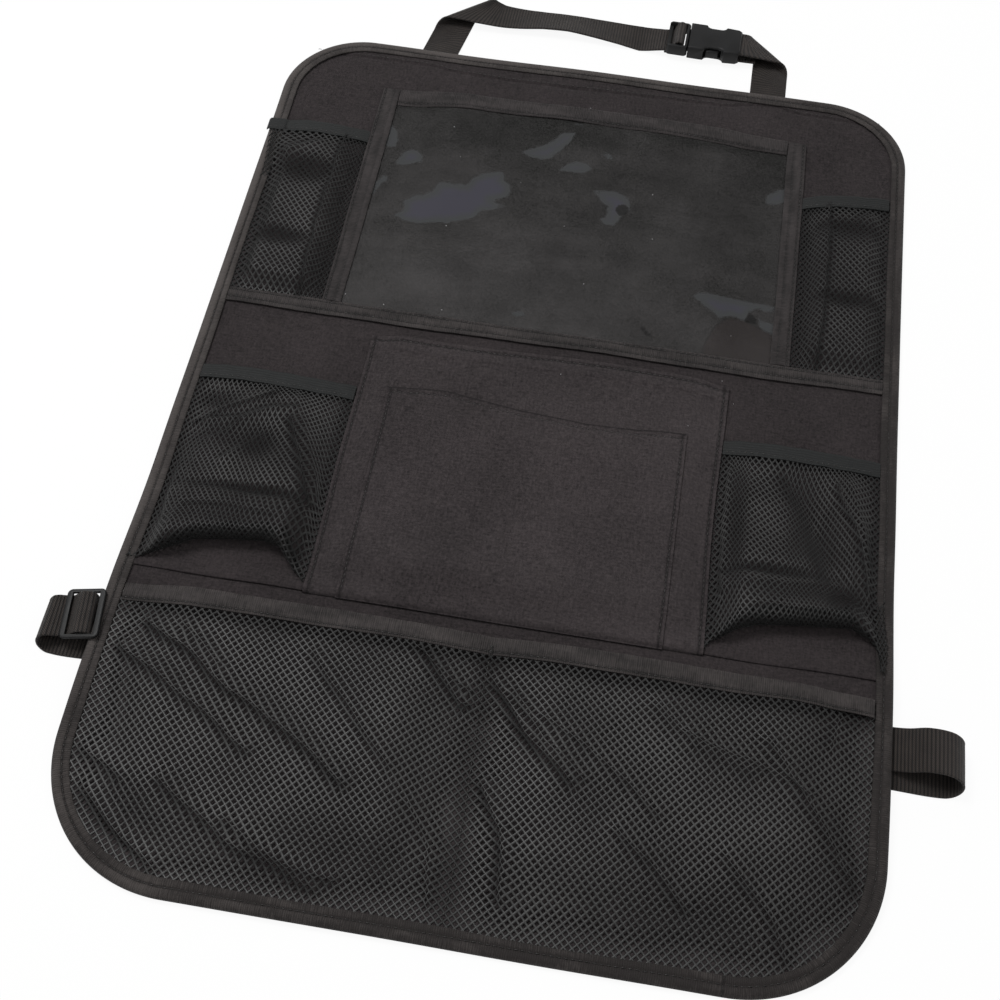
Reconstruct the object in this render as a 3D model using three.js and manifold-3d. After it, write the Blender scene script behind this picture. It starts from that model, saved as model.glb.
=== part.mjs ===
// A car seat back organizer lying on its back with its straps spread: X across, Y towards its top, Z up.
import * as THREE from "three";
import { mergeVertices } from "three/addons/utils/BufferGeometryUtils.js";
import Module from "manifold-3d";

const wasm = await Module();
wasm.setup();

// Driving dimensions in millimetres, measured from the middle of the cloth panel
const panelWidth = 430;
const panelHeight = 620;
const topCornerRadius = 55;
const bottomCornerRadius = 76;
const panelThickness = 1.6;
const gap = 0.3; // clearance between pieces that touch

const bindingWidth = 10;
const bindingThickness = 0.7;
const bindingEdgeRound = 1;

const netThickness = 0.6;
const pocketThickness = 0.9;
const tapeThickness = 0.7;
const elasticThickness = 0.9;
const seamAllowance = 6; // what a net tucks under the binding or the shelf tape

const tuckY = -132;
const tuckWidth = 3;
const tuckHeight = 0.7;

const webbingWidth = 25;
const webbingThickness = 1.4;
const sewnLength = 28; // webbing sewn to the back of the panel

const strapY = -172; // middle of the place where the lower strap crosses the back
const strapBand = 20; // the cloth is level this far each way from the strap's middle
const strapReach = 95; // and comes down over this much more
const loopSpring = 2; // how far the stiff loops hold the sewn ends above the strap
const topReach = 90;

const shelfY = 69;
const shelfTapeWidth = 11;

const windowLeft = -134;
const windowRight = 135.5;
const windowTop = 267;
const windowSideTapeWidth = 12;
const windowHemWidth = 13;
const filmInset = 2; // the film ends this far under the hem tape's upper edge
const windowRise = 5.2;

const upperMouthLeftY = 218;
const upperMouthRightY = 219;
const upperMouthSlope = 0.16; // the right-hand elastic climbs towards the edge
const upperRise = 8;
const upperRun = 15; // how far an upper net takes to leave its seam
const elasticWidth = 10;

const centreLeft = -109.5;
const centreRight = 111.5;
const centreBottom = -129.5;
const centreTop = 52;
const centreRise = 5;

const smallLeft = -90.5;
const smallRight = 90;
const smallTop = 7;
const smallRise = 1.6;

const sideMouthY = 7;
const sideRise = 15;
const sideMouthRise = 7;
const archBottom = -127;
const archHeight = 17;
const pouchRun = 20;
const pouchFoldRun = 3; // the net turns under along the arch within this
const pouchFoldUnder = 2;

const bigTapeY = -150;
const bigTapeWidth = 11;
const bigRise = 7.5;
const bigCells = 16;
const bigRun = 45;
const bigHem = 4; // the net's part above the middle of its tape

const pocketRun = 24; // how far a pocket's front takes to leave its seam
const netShare = 0.8; // the open share of a net cell's width

const buckleX = 69.2;
const buckleAbove = 44; // middle of the buckle above the panel's top edge
const buckleTilt = -6; // degrees about its length, the near side up
const buckleTurn = -1.5; // degrees on the surface
const buckleLength = 52;
const buckleWidth = 29.6;
const railWidth = 2;
const endRailWidth = 2.2;
const plugLength = 15;
const barSpacing = 3.8; // between the plug's two bars
const plugThickness = 8;
const socketThickness = 10;
const socketWall = 2;
const barWidth = 2.6;
const barThickness = 2.4;
const prongReach = 23;
const prongWidth = 3.4;
const prongThickness = 4.4;
const prongY = 8.6;
const prongBarb = 2.4;
const tongueLength = 16;
const tongueWidth = 4;
const tongueThickness = 3;
const socketCollar = 11.5;
const socketSideOpening = 14;
const socketWaistInset = 3.4;
const endBarInset = 4;
const endBarRadius = 1.5;

const sliderBeyond = 6.6; // middle of the slider outside the panel's left edge
const sliderShift = 4.3; // and above the middle of the strap
const sliderLength = 22;
const sliderWidth = 30;
const sliderThickness = 2.2;
const sliderRail = 2.2;
const sliderBar = 3.2;
const sliderCentreBar = 2.8;
const sliderTurn = 7; // degrees on the surface
const sliderPitch = -8; // degrees, the end on the panel up

const loopBeyondRight = 37.7; // how far the loops reach outside the panel's edges
const loopBeyondLeft = 28.5;
const loopRadiusRight = 7.5;
const loopRadiusLeft = 5.2;
const loopDrift = -9; // the strap comes back this much lower than it left

const longStrapX = -116;
const longStrapLean = 10; // degrees from straight up
const shortStrapX = 118.3;
const longRunAbove = 46; // the run's middle above the panel's top edge
const longRunX = [-88, -76, -62, -48, -10, 22]; // stops along the long strap's run to the buckle
const longRunZ = [6.4, 4.2, 2, 0.8, 0.7, 0.7]; // and the height of its middle there
const foldRadius = 3.6;

// Heights above the underside of the binding
const panelUnder = bindingThickness + gap;
const panelTop = panelUnder + panelThickness;
const seamLevel = panelTop + gap;
const tapeLevel = seamLevel + netThickness + gap;
const bindingHeight = tapeLevel + bindingThickness;

const halfWidth = panelWidth / 2;
const halfHeight = panelHeight / 2;
const topRide = webbingThickness + gap;
const strapRide = 2 * (webbingThickness + gap) + loopSpring;
const shelfTop = shelfY + shelfTapeWidth / 2;
const shelfBottom = shelfY - shelfTapeWidth / 2;
const bindingInside = halfWidth - bindingWidth;
const buckleY = halfHeight + buckleAbove;
const longRunY = halfHeight + longRunAbove;
const sliderX = -halfWidth - sliderBeyond;
const sliderY = strapY + sliderShift;

const radians = THREE.MathUtils.degToRad;
const clamp = THREE.MathUtils.clamp;

function ease(share) {
  const t = clamp(share, 0, 1);
  return t * t * (3 - 2 * t);
}

// The cloth's height above the surface: it rides up over the lower strap and the top straps' sewn ends
function lift(y) {
  const past = Math.max(Math.abs(y - strapY) - strapBand, 0);
  const overStrap = strapRide * ease(1 - past / strapReach);
  const overTopStraps = topRide * ease((y - halfHeight + topReach) / topReach);
  return overStrap + overTopStraps;
}

// Half the organizer's width at a height, its outline moved in by an inset
function halfAt(y, inset) {
  const radius = (y > 0 ? topCornerRadius : bottomCornerRadius) - inset;
  const past = Math.abs(y) - (halfHeight - inset - radius);
  const straight = halfWidth - inset;
  if (past <= 0) return straight;
  return straight - radius + Math.sqrt(Math.max(radius * radius - past * past, 0));
}

function evenly(from, to, steps) {
  return Array.from({ length: steps + 1 }, (_, i) => from + ((to - from) * i) / steps);
}

function material(color, roughness, metalness = 0) {
  return new THREE.MeshStandardMaterial({ color, roughness, metalness });
}

const looks = {
  cloth: () => material(0x2b282a, 0.95),
  tape: () => material(0x2e2a28, 0.85),
  net: () => material(0x2a2d2c, 0.8),
  elastic: () => material(0x242627, 0.75),
  film: () => {
    const film = material(0x4a4f4e, 0.12);
    film.transparent = true;
    film.opacity = 0.35;
    return film;
  },
  webbing: () => material(0x262322, 0.9),
  plastic: () => material(0x1c1d1f, 0.38),
};

// A sheet as one closed body on a grid of columns and rows. placeOf gives its lower face, and shiftOf the
// way from there to its upper face. A cell that isOpen names has a diamond gap, so its rims make a net.
function sheetGeometry({ columns, rows, placeOf, shiftOf, isOpen = () => false }) {
  const positions = [];
  const triangles = [];
  const addPoint = (u, v, share) => {
    const place = placeOf(u, v);
    const shift = shiftOf(u, v);
    positions.push(...place.map((value, axis) => value + shift[axis] * share));
    return positions.length / 3 - 1;
  };
  const addFace = (ring) => {
    for (let i = 2; i < ring.length; i++) triangles.push(ring[0], ring[i - 1], ring[i]);
  };
  const grid = [0, 1].map((share) => columns.map((u) => rows.map((v) => addPoint(u, v, share))));
  const addWall = (fromI, fromJ, toI, toJ) =>
    addFace([grid[0][fromI][fromJ], grid[0][toI][toJ], grid[1][toI][toJ], grid[1][fromI][fromJ]]);
  const lastColumn = columns.length - 1;
  const lastRow = rows.length - 1;

  for (let i = 0; i < lastColumn; i++) {
    for (let j = 0; j < lastRow; j++) {
      const corners = grid.map((g) => [g[i][j], g[i + 1][j], g[i + 1][j + 1], g[i][j + 1]]);
      if (!isOpen(i, j)) {
        addFace([...corners[0]].reverse());
        addFace(corners[1]);
        continue;
      }
      const middle = [(columns[i] + columns[i + 1]) / 2, (rows[j] + rows[j + 1]) / 2];
      const du = ((columns[i + 1] - columns[i]) / 2) * netShare;
      const dv = ((rows[j + 1] - rows[j]) / 2) * netShare;
      const tips = [[0, -dv], [du, 0], [0, dv], [-du, 0]];
      const rings = [0, 1].map((share) =>
        tips.map(([u, v]) => addPoint(middle[0] + u, middle[1] + v, share)),
      );
      for (let k = 0; k < 4; k++) {
        const next = (k + 1) % 4;
        addFace([corners[1][k], corners[1][next], rings[1][k]]);
        addFace([corners[1][next], rings[1][next], rings[1][k]]);
        addFace([corners[0][next], corners[0][k], rings[0][k]]);
        addFace([rings[0][next], corners[0][next], rings[0][k]]);
        addFace([rings[0][next], rings[0][k], rings[1][k], rings[1][next]]);
      }
    }
  }
  for (let i = 0; i < lastColumn; i++) {
    addWall(i, 0, i + 1, 0);
    addWall(i + 1, lastRow, i, lastRow);
  }
  for (let j = 0; j < lastRow; j++) {
    addWall(lastColumn, j, lastColumn, j + 1);
    addWall(0, j + 1, 0, j);
  }
  return indexedGeometry(positions, triangles);
}

function indexedGeometry(positions, triangles) {
  const geometry = new THREE.BufferGeometry();
  geometry.setAttribute("position", new THREE.Float32BufferAttribute(positions, 3));
  geometry.setIndex(triangles);
  return geometry;
}

// A sheet of even thickness lying on the cloth at a level, plus the height of its own shape
function laidSheet({ columns, rows, level, rise = () => 0, thickness, isOpen }) {
  return sheetGeometry({
    columns,
    rows,
    placeOf: (x, y) => [x, y, lift(y) + level + rise(x, y)],
    shiftOf: () => [0, 0, thickness],
    isOpen,
  });
}

// How far a pocket's front stands off, from its sewn sides and foot
function puff(x, y, { left, right, bottom, rise, run = pocketRun }) {
  return rise * ease((x - left) / run) * ease((right - x) / run) * ease((y - bottom) / run);
}

// Grid lines across a pocket: close together where its front leaves the seams
function seamLines(left, right, steps, edge = 0) {
  const inner = evenly(left + pocketRun, right - pocketRun, steps);
  const rising = evenly(left, left + pocketRun, 4).slice(0, -1);
  const falling = evenly(right - pocketRun, right, 4).slice(1);
  const edges = edge > 0 ? [[left - edge], [right + edge]] : [[], []];
  return [...edges[0], ...rising, ...inner, ...falling, ...edges[1]];
}

// Grid lines up a pocket: close together above its foot, and even from there to its open mouth
function mouthRows(bottom, top, steps) {
  const risen = bottom + pocketRun;
  return [...evenly(bottom, risen, 4).slice(0, -1), ...evenly(risen, top, steps)];
}

// A closed ribbon of webbing, through stations that hold the middle and the way from it to one edge
function ribbonGeometry(stations, thickness = webbingThickness) {
  const positions = [];
  const triangles = [];
  stations.forEach(({ middle, half }, k) => {
    const before = stations[Math.max(k - 1, 0)].middle;
    const after = stations[Math.min(k + 1, stations.length - 1)].middle;
    const normal = after.clone().sub(before).cross(half).setLength(thickness / 2);
    const corners = [[1, 1], [-1, 1], [-1, -1], [1, -1]];
    for (const [across, up] of corners) {
      const corner = middle.clone().addScaledVector(half, across).addScaledVector(normal, up);
      positions.push(corner.x, corner.y, corner.z);
    }
  });
  const addQuad = (a, b, c, d) => triangles.push(a, b, c, a, c, d);
  const last = (stations.length - 1) * 4;
  for (let base = 0; base < last; base += 4) {
    for (let k = 0; k < 4; k++) {
      const next = (k + 1) % 4;
      addQuad(base + k, base + next, base + 4 + next, base + 4 + k);
    }
  }
  addQuad(3, 2, 1, 0);
  addQuad(last, last + 1, last + 2, last + 3);
  return indexedGeometry(positions, triangles);
}

function station(x, y, z, half) {
  return { middle: new THREE.Vector3(x, y, z), half };
}

function solidOf(geometry) {
  const bare = geometry.index ? geometry.toNonIndexed() : geometry.clone();
  bare.deleteAttribute("normal");
  bare.deleteAttribute("uv");
  const merged = mergeVertices(bare, 1e-4);
  const vertProperties = merged.attributes.position.array;
  const triVerts = new Uint32Array(merged.index.array);
  return new wasm.Manifold(new wasm.Mesh({ numProp: 3, vertProperties, triVerts }));
}

function geometryOf(solid) {
  const { numProp, vertProperties, triVerts } = solid.getMesh();
  const positions = [];
  for (let i = 0; i < vertProperties.length; i += numProp) {
    positions.push(vertProperties[i], vertProperties[i + 1], vertProperties[i + 2]);
  }
  return indexedGeometry(positions, Array.from(triVerts));
}

function boxSolid(fromX, toX, fromY, toY, fromZ, toZ) {
  const box = new THREE.BoxGeometry(toX - fromX, toY - fromY, toZ - fromZ);
  box.translate((fromX + toX) / 2, (fromY + toY) / 2, (fromZ + toZ) / 2);
  return solidOf(box);
}

function plateSolid(shape, thickness, bevel = 0.6) {
  const plate = new THREE.ExtrudeGeometry(shape, {
    depth: thickness - 2 * bevel,
    bevelEnabled: bevel > 0,
    bevelThickness: bevel,
    bevelSize: bevel,
    bevelOffset: -bevel,
    bevelSegments: 1,
    curveSegments: 4,
  });
  plate.translate(0, 0, bevel - thickness / 2);
  return solidOf(plate);
}

function roundedRectangle(fromX, toX, fromY, toY, radius) {
  const shape = new THREE.Shape();
  shape.moveTo(fromX + radius, fromY);
  shape.lineTo(toX - radius, fromY);
  shape.absarc(toX - radius, fromY + radius, radius, -Math.PI / 2, 0);
  shape.absarc(toX - radius, toY - radius, radius, 0, Math.PI / 2);
  shape.absarc(fromX + radius, toY - radius, radius, Math.PI / 2, Math.PI);
  shape.absarc(fromX + radius, fromY + radius, radius, Math.PI, 1.5 * Math.PI);
  return shape;
}

const organizer = new THREE.Group();

function addPiece(name, geometry, look, parent = organizer) {
  geometry.computeVertexNormals();
  const mesh = new THREE.Mesh(geometry, look());
  mesh.name = name;
  parent.add(mesh);
  return mesh;
}

// Rows down the panel: close in the corners' arcs and where the tuck stands up
function panelRows(inset) {
  const top = halfHeight - inset;
  const topRadius = topCornerRadius - inset;
  const bottomRadius = bottomCornerRadius - inset;
  const arc = [0, 0.12, 0.3, 0.55, 0.8];
  const bottomArc = arc.map((t) => -top + bottomRadius * (1 - Math.cos((t * Math.PI) / 2)));
  const topArc = arc.map((t) => top - topRadius * (1 - Math.cos((t * Math.PI) / 2))).reverse();
  const tuckFrom = tuckY - tuckWidth / 2;
  const tuckTo = tuckY + tuckWidth / 2;
  const lower = evenly(-top + bottomRadius, tuckFrom, 5);
  const upper = evenly(tuckTo, top - topRadius, 18);
  return [...bottomArc, ...lower, tuckY, ...upper, ...topArc];
}

function backPanel() {
  const inset = bindingThickness + 2 * gap; // clear of the chords of the binding's corners too
  const tuck = (y) => tuckHeight * clamp(1 - Math.abs(y - tuckY) / (tuckWidth / 2), 0, 1);
  return sheetGeometry({
    columns: [-1, 0, 1],
    rows: panelRows(inset),
    placeOf: (side, y) => [side * halfAt(y, inset), y, lift(y) + panelUnder],
    shiftOf: (side, y) => [0, 0, panelThickness + tuck(y)],
  });
}

// The outline, anticlockwise, as corner arcs joined by sides with enough stops to follow the lift
function outlineAt(inset) {
  const points = [];
  const addArc = (centreX, centreY, radius, fromTurn) => {
    for (const turn of evenly(fromTurn, fromTurn + 90, 8)) {
      const angle = radians(turn);
      points.push([centreX + radius * Math.cos(angle), centreY + radius * Math.sin(angle)]);
    }
  };
  const topY = halfHeight - topCornerRadius;
  const bottomY = bottomCornerRadius - halfHeight;
  const sideStops = evenly(bottomY, topY, 22).slice(1, -1);
  const addSide = (x, stops) => stops.forEach((y) => points.push([x, y]));
  const topX = halfWidth - topCornerRadius;
  const bottomX = halfWidth - bottomCornerRadius;
  addArc(bottomX, bottomY, bottomCornerRadius - inset, -90);
  addSide(halfWidth - inset, sideStops);
  addArc(topX, topY, topCornerRadius - inset, 0);
  addArc(-topX, topY, topCornerRadius - inset, 90);
  addSide(inset - halfWidth, [...sideStops].reverse());
  addArc(-bottomX, bottomY, bottomCornerRadius - inset, 180);
  return points;
}

// A tape folded round the panel's edge, so its section is a U that opens inwards
function edgeBinding() {
  const inner = bindingThickness;
  const round = bindingEdgeRound;
  const section = [
    [round, 0],
    [bindingWidth, 0],
    [bindingWidth, bindingThickness],
    [inner, bindingThickness],
    [inner, tapeLevel],
    [bindingWidth, tapeLevel],
    [bindingWidth, bindingHeight],
    [round, bindingHeight],
    [0, bindingHeight - round],
    [0, round],
  ];
  const rings = section.map(([inset, height]) =>
    outlineAt(inset).map(([x, y]) => [x, y, lift(y) + height]),
  );
  const count = rings[0].length;
  const triangles = [];
  for (let k = 0; k < count; k++) {
    const next = (k + 1) % count;
    for (let j = 0; j < section.length; j++) {
      const after = (j + 1) % section.length;
      const [a, b] = [j * count + k, after * count + k];
      const [c, d] = [after * count + next, j * count + next];
      triangles.push(a, b, c, a, c, d);
    }
  }
  return indexedGeometry(rings.flat(2), triangles);
}

// The clear tablet pocket and its tapes
const windowPocket = {
  left: windowLeft,
  right: windowRight,
  bottom: shelfTop,
  rise: windowRise,
};
const windowFace = (x, y) => puff(x, y, windowPocket);
const windowHemBottom = windowTop - windowHemWidth;
const windowSeam = (windowSideTapeWidth - gap) / 2; // a side tape covers the film's edge and a net's

function tabletWindow() {
  return laidSheet({
    columns: seamLines(windowLeft, windowRight, 3, windowSeam),
    rows: [shelfTop - seamAllowance, ...mouthRows(shelfTop, windowTop - filmInset, 6)],
    level: seamLevel,
    rise: windowFace,
    thickness: netThickness,
  });
}

function windowHemTape() {
  return laidSheet({
    columns: seamLines(windowLeft + gap, windowRight - gap, 4),
    rows: [windowHemBottom, windowTop],
    level: tapeLevel,
    rise: windowFace,
    thickness: tapeThickness,
  });
}

function windowSideTape(inside, outwards) {
  const edges = [inside, inside + outwards * windowSideTapeWidth].sort((a, b) => a - b);
  return laidSheet({
    columns: edges,
    rows: evenly(shelfTop + gap, windowTop, 8),
    level: tapeLevel,
    thickness: tapeThickness,
  });
}

function shelfTape() {
  return laidSheet({
    columns: [gap - bindingInside, bindingInside - gap],
    rows: [shelfBottom, shelfTop],
    level: tapeLevel,
    thickness: tapeThickness,
  });
}

// A net pocket beside the window, sewn under the binding, the window's tape and the shelf tape
const upperPockets = {
  left: {
    left: -bindingInside,
    right: windowLeft - windowSideTapeWidth,
    seams: [seamAllowance, windowSeam],
    mouth: () => upperMouthLeftY,
  },
  right: {
    left: windowRight + windowSideTapeWidth,
    right: bindingInside,
    seams: [windowSeam, seamAllowance],
    mouth: (x) => upperMouthRightY + upperMouthSlope * (x - bindingInside + elasticWidth),
  },
};
const upperShape = { bottom: shelfTop, rise: upperRise, run: upperRun };
const upperFace = (pocket) => (x, y) => puff(x, y, { ...pocket, ...upperShape });

// A net between two sides whose mouth may slope. Rows run from -1 at its lower edge, under the shelf
// tape, over 0 where it comes out to 1 at the mouth.
function upperNet(pocket) {
  const face = upperFace(pocket);
  const rimShare = 0.05; // of the height, closed at the foot and at the mouth
  const heightAt = (x, v) => shelfTop + v * (v < 0 ? seamAllowance : pocket.mouth(x) - shelfTop);
  const columns = [
    pocket.left - pocket.seams[0],
    ...evenly(pocket.left, pocket.right, 3),
    pocket.right + pocket.seams[1],
  ];
  const rows = [-1, 0, ...evenly(rimShare, 1 - rimShare, 6), 1];
  return sheetGeometry({
    columns,
    rows,
    placeOf: (x, v) => {
      const y = heightAt(x, v);
      return [x, y, lift(y) + seamLevel + face(x, y)];
    },
    shiftOf: () => [0, 0, netThickness],
    isOpen: (i, j) => i > 0 && i < columns.length - 2 && j > 1 && j < rows.length - 2,
  });
}

// An elastic sewn over a net's mouth, from one side of its pocket to the other
function mouthElastic(pocket, face) {
  return sheetGeometry({
    columns: evenly(pocket.left + gap, pocket.right - gap, 9),
    rows: [0, 1],
    placeOf: (x, v) => {
      const y = pocket.mouth(x) + elasticWidth * (v - 0.5);
      return [x, y, lift(y) + tapeLevel + face(x, y)];
    },
    shiftOf: () => [0, 0, elasticThickness],
  });
}

// The flat pocket in the middle, and the smaller one sewn on its front
const centrePocket = { left: centreLeft, right: centreRight, bottom: centreBottom, rise: centreRise };
const centreFace = (x, y) => puff(x, y, centrePocket);
const smallPocket = { left: smallLeft, right: smallRight, bottom: centreBottom, rise: smallRise };

function centrePocketSheet() {
  return laidSheet({
    columns: seamLines(centreLeft, centreRight, 4),
    rows: mouthRows(centreBottom, centreTop, 7),
    level: seamLevel,
    rise: centreFace,
    thickness: pocketThickness,
  });
}

function smallPocketSheet() {
  return laidSheet({
    columns: seamLines(smallLeft, smallRight, 4),
    rows: mouthRows(centreBottom, smallTop, 6),
    level: seamLevel + pocketThickness + gap,
    rise: (x, y) => centreFace(x, y) + puff(x, y, smallPocket),
    thickness: pocketThickness,
  });
}

// The deep net pouches: their lower edge is an arch that stands off the panel
const sidePockets = {
  left: { left: -bindingInside, right: centreLeft - gap, mouth: () => sideMouthY },
  right: { left: centreRight + gap, right: bindingInside, mouth: () => sideMouthY },
};

function archAt(x, { left, right }) {
  const across = clamp((x - left) / (right - left), 0, 1);
  return archBottom + archHeight * Math.sqrt(Math.sin(Math.PI * across));
}

// The pouch's front: deepest over the arch and flatter at the mouth, where the elastic holds it
function sideFace(pocket) {
  return (x, y) => {
    const sides = ease((x - pocket.left) / pouchRun) * ease((pocket.right - x) / pouchRun);
    const past = y - archAt(x, pocket);
    const depth = sideRise + (sideMouthRise - sideRise) * ease(past / (sideMouthY - archBottom));
    return depth * sides * clamp(past / pouchFoldRun, 0, 1);
  };
}

// Rows run from the turned-under edge over 0 at the arch and 1 where the fold ends to 2 at the mouth
function sideNet(pocket, bindingSide) {
  const face = sideFace(pocket);
  const columns = evenly(pocket.left, pocket.right, 4);
  if (bindingSide < 0) columns.unshift(pocket.left - seamAllowance);
  else columns.push(pocket.right + seamAllowance);
  const rimShare = 0.05;
  const rows = [-pouchFoldUnder / pouchFoldRun, 0, 1, ...evenly(1 + rimShare, 2 - rimShare, 5), 2];
  const openFrom = bindingSide < 0 ? 1 : 0;
  const openTo = openFrom + 3;
  const heightAt = (x, v) => {
    const arch = archAt(x, pocket);
    if (v <= 1) return arch + pouchFoldRun * v;
    return arch + pouchFoldRun + (v - 1) * (pocket.mouth(x) - arch - pouchFoldRun);
  };
  return sheetGeometry({
    columns,
    rows,
    placeOf: (x, v) => {
      const y = heightAt(x, v);
      return [x, y, lift(y) + seamLevel + face(x, y)];
    },
    shiftOf: (x, v) => [0, v <= 1 ? -netThickness : 0, netThickness],
    isOpen: (i, j) => i >= openFrom && i <= openTo && j > 2 && j < rows.length - 2,
  });
}

// The big net pocket: two bays, because a seam up its middle holds it to the panel
function bigFace(x, y) {
  const inset = halfAt(y, bindingWidth) - Math.abs(x);
  const past = y + halfHeight - bindingWidth;
  return bigRise * ease(inset / bigRun) * ease(Math.abs(x) / bigRun) * ease(past / bigRun);
}

function bigNet() {
  const inset = bindingWidth - seamAllowance;
  const edge = halfWidth - inset;
  const inside = bindingInside / edge;
  const columns = [-1, ...evenly(-inside, inside, bigCells), 1];
  const bottom = inset - halfHeight;
  const tapeBottom = bigTapeY - bigTapeWidth / 2;
  const rows = [bottom, ...evenly(bottom + seamAllowance, tapeBottom, 6), bigTapeY + bigHem];
  return sheetGeometry({
    columns,
    rows,
    placeOf: (side, y) => {
      const x = side * halfAt(y, inset);
      return [x, y, lift(y) + seamLevel + bigFace(x, y)];
    },
    shiftOf: () => [0, 0, netThickness],
    isOpen: (i, j) => i > 0 && i < columns.length - 2 && j > 0 && j < rows.length - 2,
  });
}

function bigPocketTape() {
  const end = bindingInside - gap;
  const inner = evenly(-bindingInside, bindingInside, bigCells).slice(1, -1);
  return laidSheet({
    columns: [-end, ...inner, end],
    rows: [bigTapeY - bigTapeWidth / 2, bigTapeY + bigTapeWidth / 2],
    level: tapeLevel,
    rise: bigFace,
    thickness: tapeThickness,
  });
}

// The places of the buckle and the slider, in which their webbing is laid too
function placement(x, y, z, tilt, turn, pitch = 0) {
  const group = new THREE.Group();
  group.position.set(x, y, z);
  group.rotation.set(radians(tilt), radians(pitch), radians(turn), "ZYX");
  group.updateMatrix();
  organizer.add(group);
  return group;
}

const buckleLean = radians(Math.abs(buckleTilt));
const buckleZ = (buckleWidth * Math.sin(buckleLean) + socketThickness * Math.cos(buckleLean)) / 2;
const buckle = placement(buckleX, buckleY, buckleZ, buckleTilt, buckleTurn);

// Stations in a placed group's own frame, laid across its Y axis
function stationsIn(group, points) {
  const origin = new THREE.Vector3().applyMatrix4(group.matrix);
  const half = new THREE.Vector3(0, webbingWidth / 2, 0).applyMatrix4(group.matrix).sub(origin);
  return points.map(([x, z]) => ({
    middle: new THREE.Vector3(x, 0, z).applyMatrix4(group.matrix),
    half: half.clone(),
  }));
}

const webOffset = barThickness / 2 + webbingThickness / 2 + 1.5 * gap;
const plugLeft = -buckleLength / 2;
const plugRight = plugLeft + plugLength;
const firstBar = plugLeft + barWidth / 2;
const rollBar = firstBar + barWidth + barSpacing;
const socketLeft = plugRight + gap;
const socketRight = buckleLength / 2;
const halfBuckle = buckleWidth / 2;
const endBarX = socketRight - endBarInset;

function bucklePlug() {
  const frameShape = roundedRectangle(plugLeft, plugRight, -halfBuckle, halfBuckle, 2.5);
  const inside = halfBuckle - railWidth;
  const root = plugRight - endRailWidth / 2; // the prongs and the tongue grow out of the end rail
  const cut = plugLeft - 1;
  const window = boxSolid(cut, plugRight - endRailWidth, -inside, inside, -plugThickness, plugThickness);
  const barSpan = inside + railWidth / 2;
  const bar = (x) => {
    const [halfAcross, halfHigh] = [barWidth / 2, barThickness / 2];
    return boxSolid(x - halfAcross, x + halfAcross, -barSpan, barSpan, -halfHigh, halfHigh);
  };
  const prong = (side) => {
    const arm = new THREE.Shape();
    const inner = prongY - prongWidth / 2;
    const outer = prongY + prongWidth / 2;
    const tip = plugRight + prongReach;
    const shoulder = tip - 4 * prongBarb;
    arm.moveTo(root, inner * side);
    arm.lineTo(tip - prongBarb, (inner + 1) * side);
    arm.lineTo(tip, outer * side);
    arm.lineTo(tip - prongBarb / 2, (outer + prongBarb) * side);
    arm.lineTo(shoulder, (halfBuckle - 1) * side);
    arm.lineTo(shoulder - 1, outer * side);
    arm.lineTo(root, outer * side);
    return plateSolid(arm, prongThickness, 0);
  };
  const [halfTongue, tongueHigh] = [tongueWidth / 2, tongueThickness / 2];
  const tongueTip = plugRight + tongueLength;
  const tongue = boxSolid(root, tongueTip, -halfTongue, halfTongue, -tongueHigh, tongueHigh);
  return geometryOf(
    plateSolid(frameShape, plugThickness)
      .subtract(window)
      .add(bar(firstBar))
      .add(bar(rollBar))
      .add(prong(1))
      .add(prong(-1))
      .add(tongue),
  );
}

// The socket: a hollow body, cut away at both sides for the prongs, with a bar across its open end
function buckleSocket() {
  const waist = halfBuckle - socketWaistInset;
  const cutFrom = socketLeft + socketCollar;
  const cutTo = cutFrom + socketSideOpening;
  const body = new THREE.Shape();
  body.moveTo(socketLeft, -halfBuckle);
  body.lineTo(cutFrom, -halfBuckle);
  body.quadraticCurveTo(cutFrom + 1, -waist, cutFrom + 4, -waist);
  body.lineTo(cutTo - 4, -waist);
  body.quadraticCurveTo(cutTo - 1, -waist, cutTo, -halfBuckle);
  body.lineTo(socketRight - 2, 0.8 - halfBuckle);
  body.lineTo(socketRight, 2.5 - halfBuckle);
  body.lineTo(socketRight, halfBuckle - 2.5);
  body.lineTo(socketRight - 2, halfBuckle - 0.8);
  body.lineTo(cutTo, halfBuckle);
  body.quadraticCurveTo(cutTo - 1, waist, cutTo - 4, waist);
  body.lineTo(cutFrom + 4, waist);
  body.quadraticCurveTo(cutFrom + 1, waist, cutFrom, halfBuckle);
  body.lineTo(socketLeft, halfBuckle);
  const hollow = prongThickness / 2 + 2 * gap;
  const inside = halfBuckle - socketWall;
  const prongEnd = plugRight + prongReach + 1;
  const mouth = webOffset + webbingThickness / 2 + 2 * gap;
  const cavity = boxSolid(socketLeft - 1, prongEnd, -waist, waist, -hollow, hollow);
  const sidesFrom = cutFrom - 1.5 * gap;
  const sides = boxSolid(sidesFrom, prongEnd, -halfBuckle - 1, halfBuckle + 1, -hollow, hollow);
  const endMouth = boxSolid(endBarX - mouth, socketRight + 1, -inside, inside, -mouth, mouth);
  const bar = new THREE.CylinderGeometry(endBarRadius, endBarRadius, 2 * inside + 1, 10);
  bar.translate(endBarX, 0, 0);
  return geometryOf(
    plateSolid(body, socketThickness, 0.8)
      .subtract(cavity)
      .subtract(sides)
      .subtract(endMouth)
      .add(solidOf(bar)),
  );
}

// Points of a turn about the Y axis, by angle from the X axis
function turnPoints(x, z, radius, fromTurn, toTurn, steps) {
  return evenly(fromTurn, toTurn, steps).map((turn) => {
    const angle = radians(turn);
    return [x + radius * Math.cos(angle), z + radius * Math.sin(angle)];
  });
}

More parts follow.
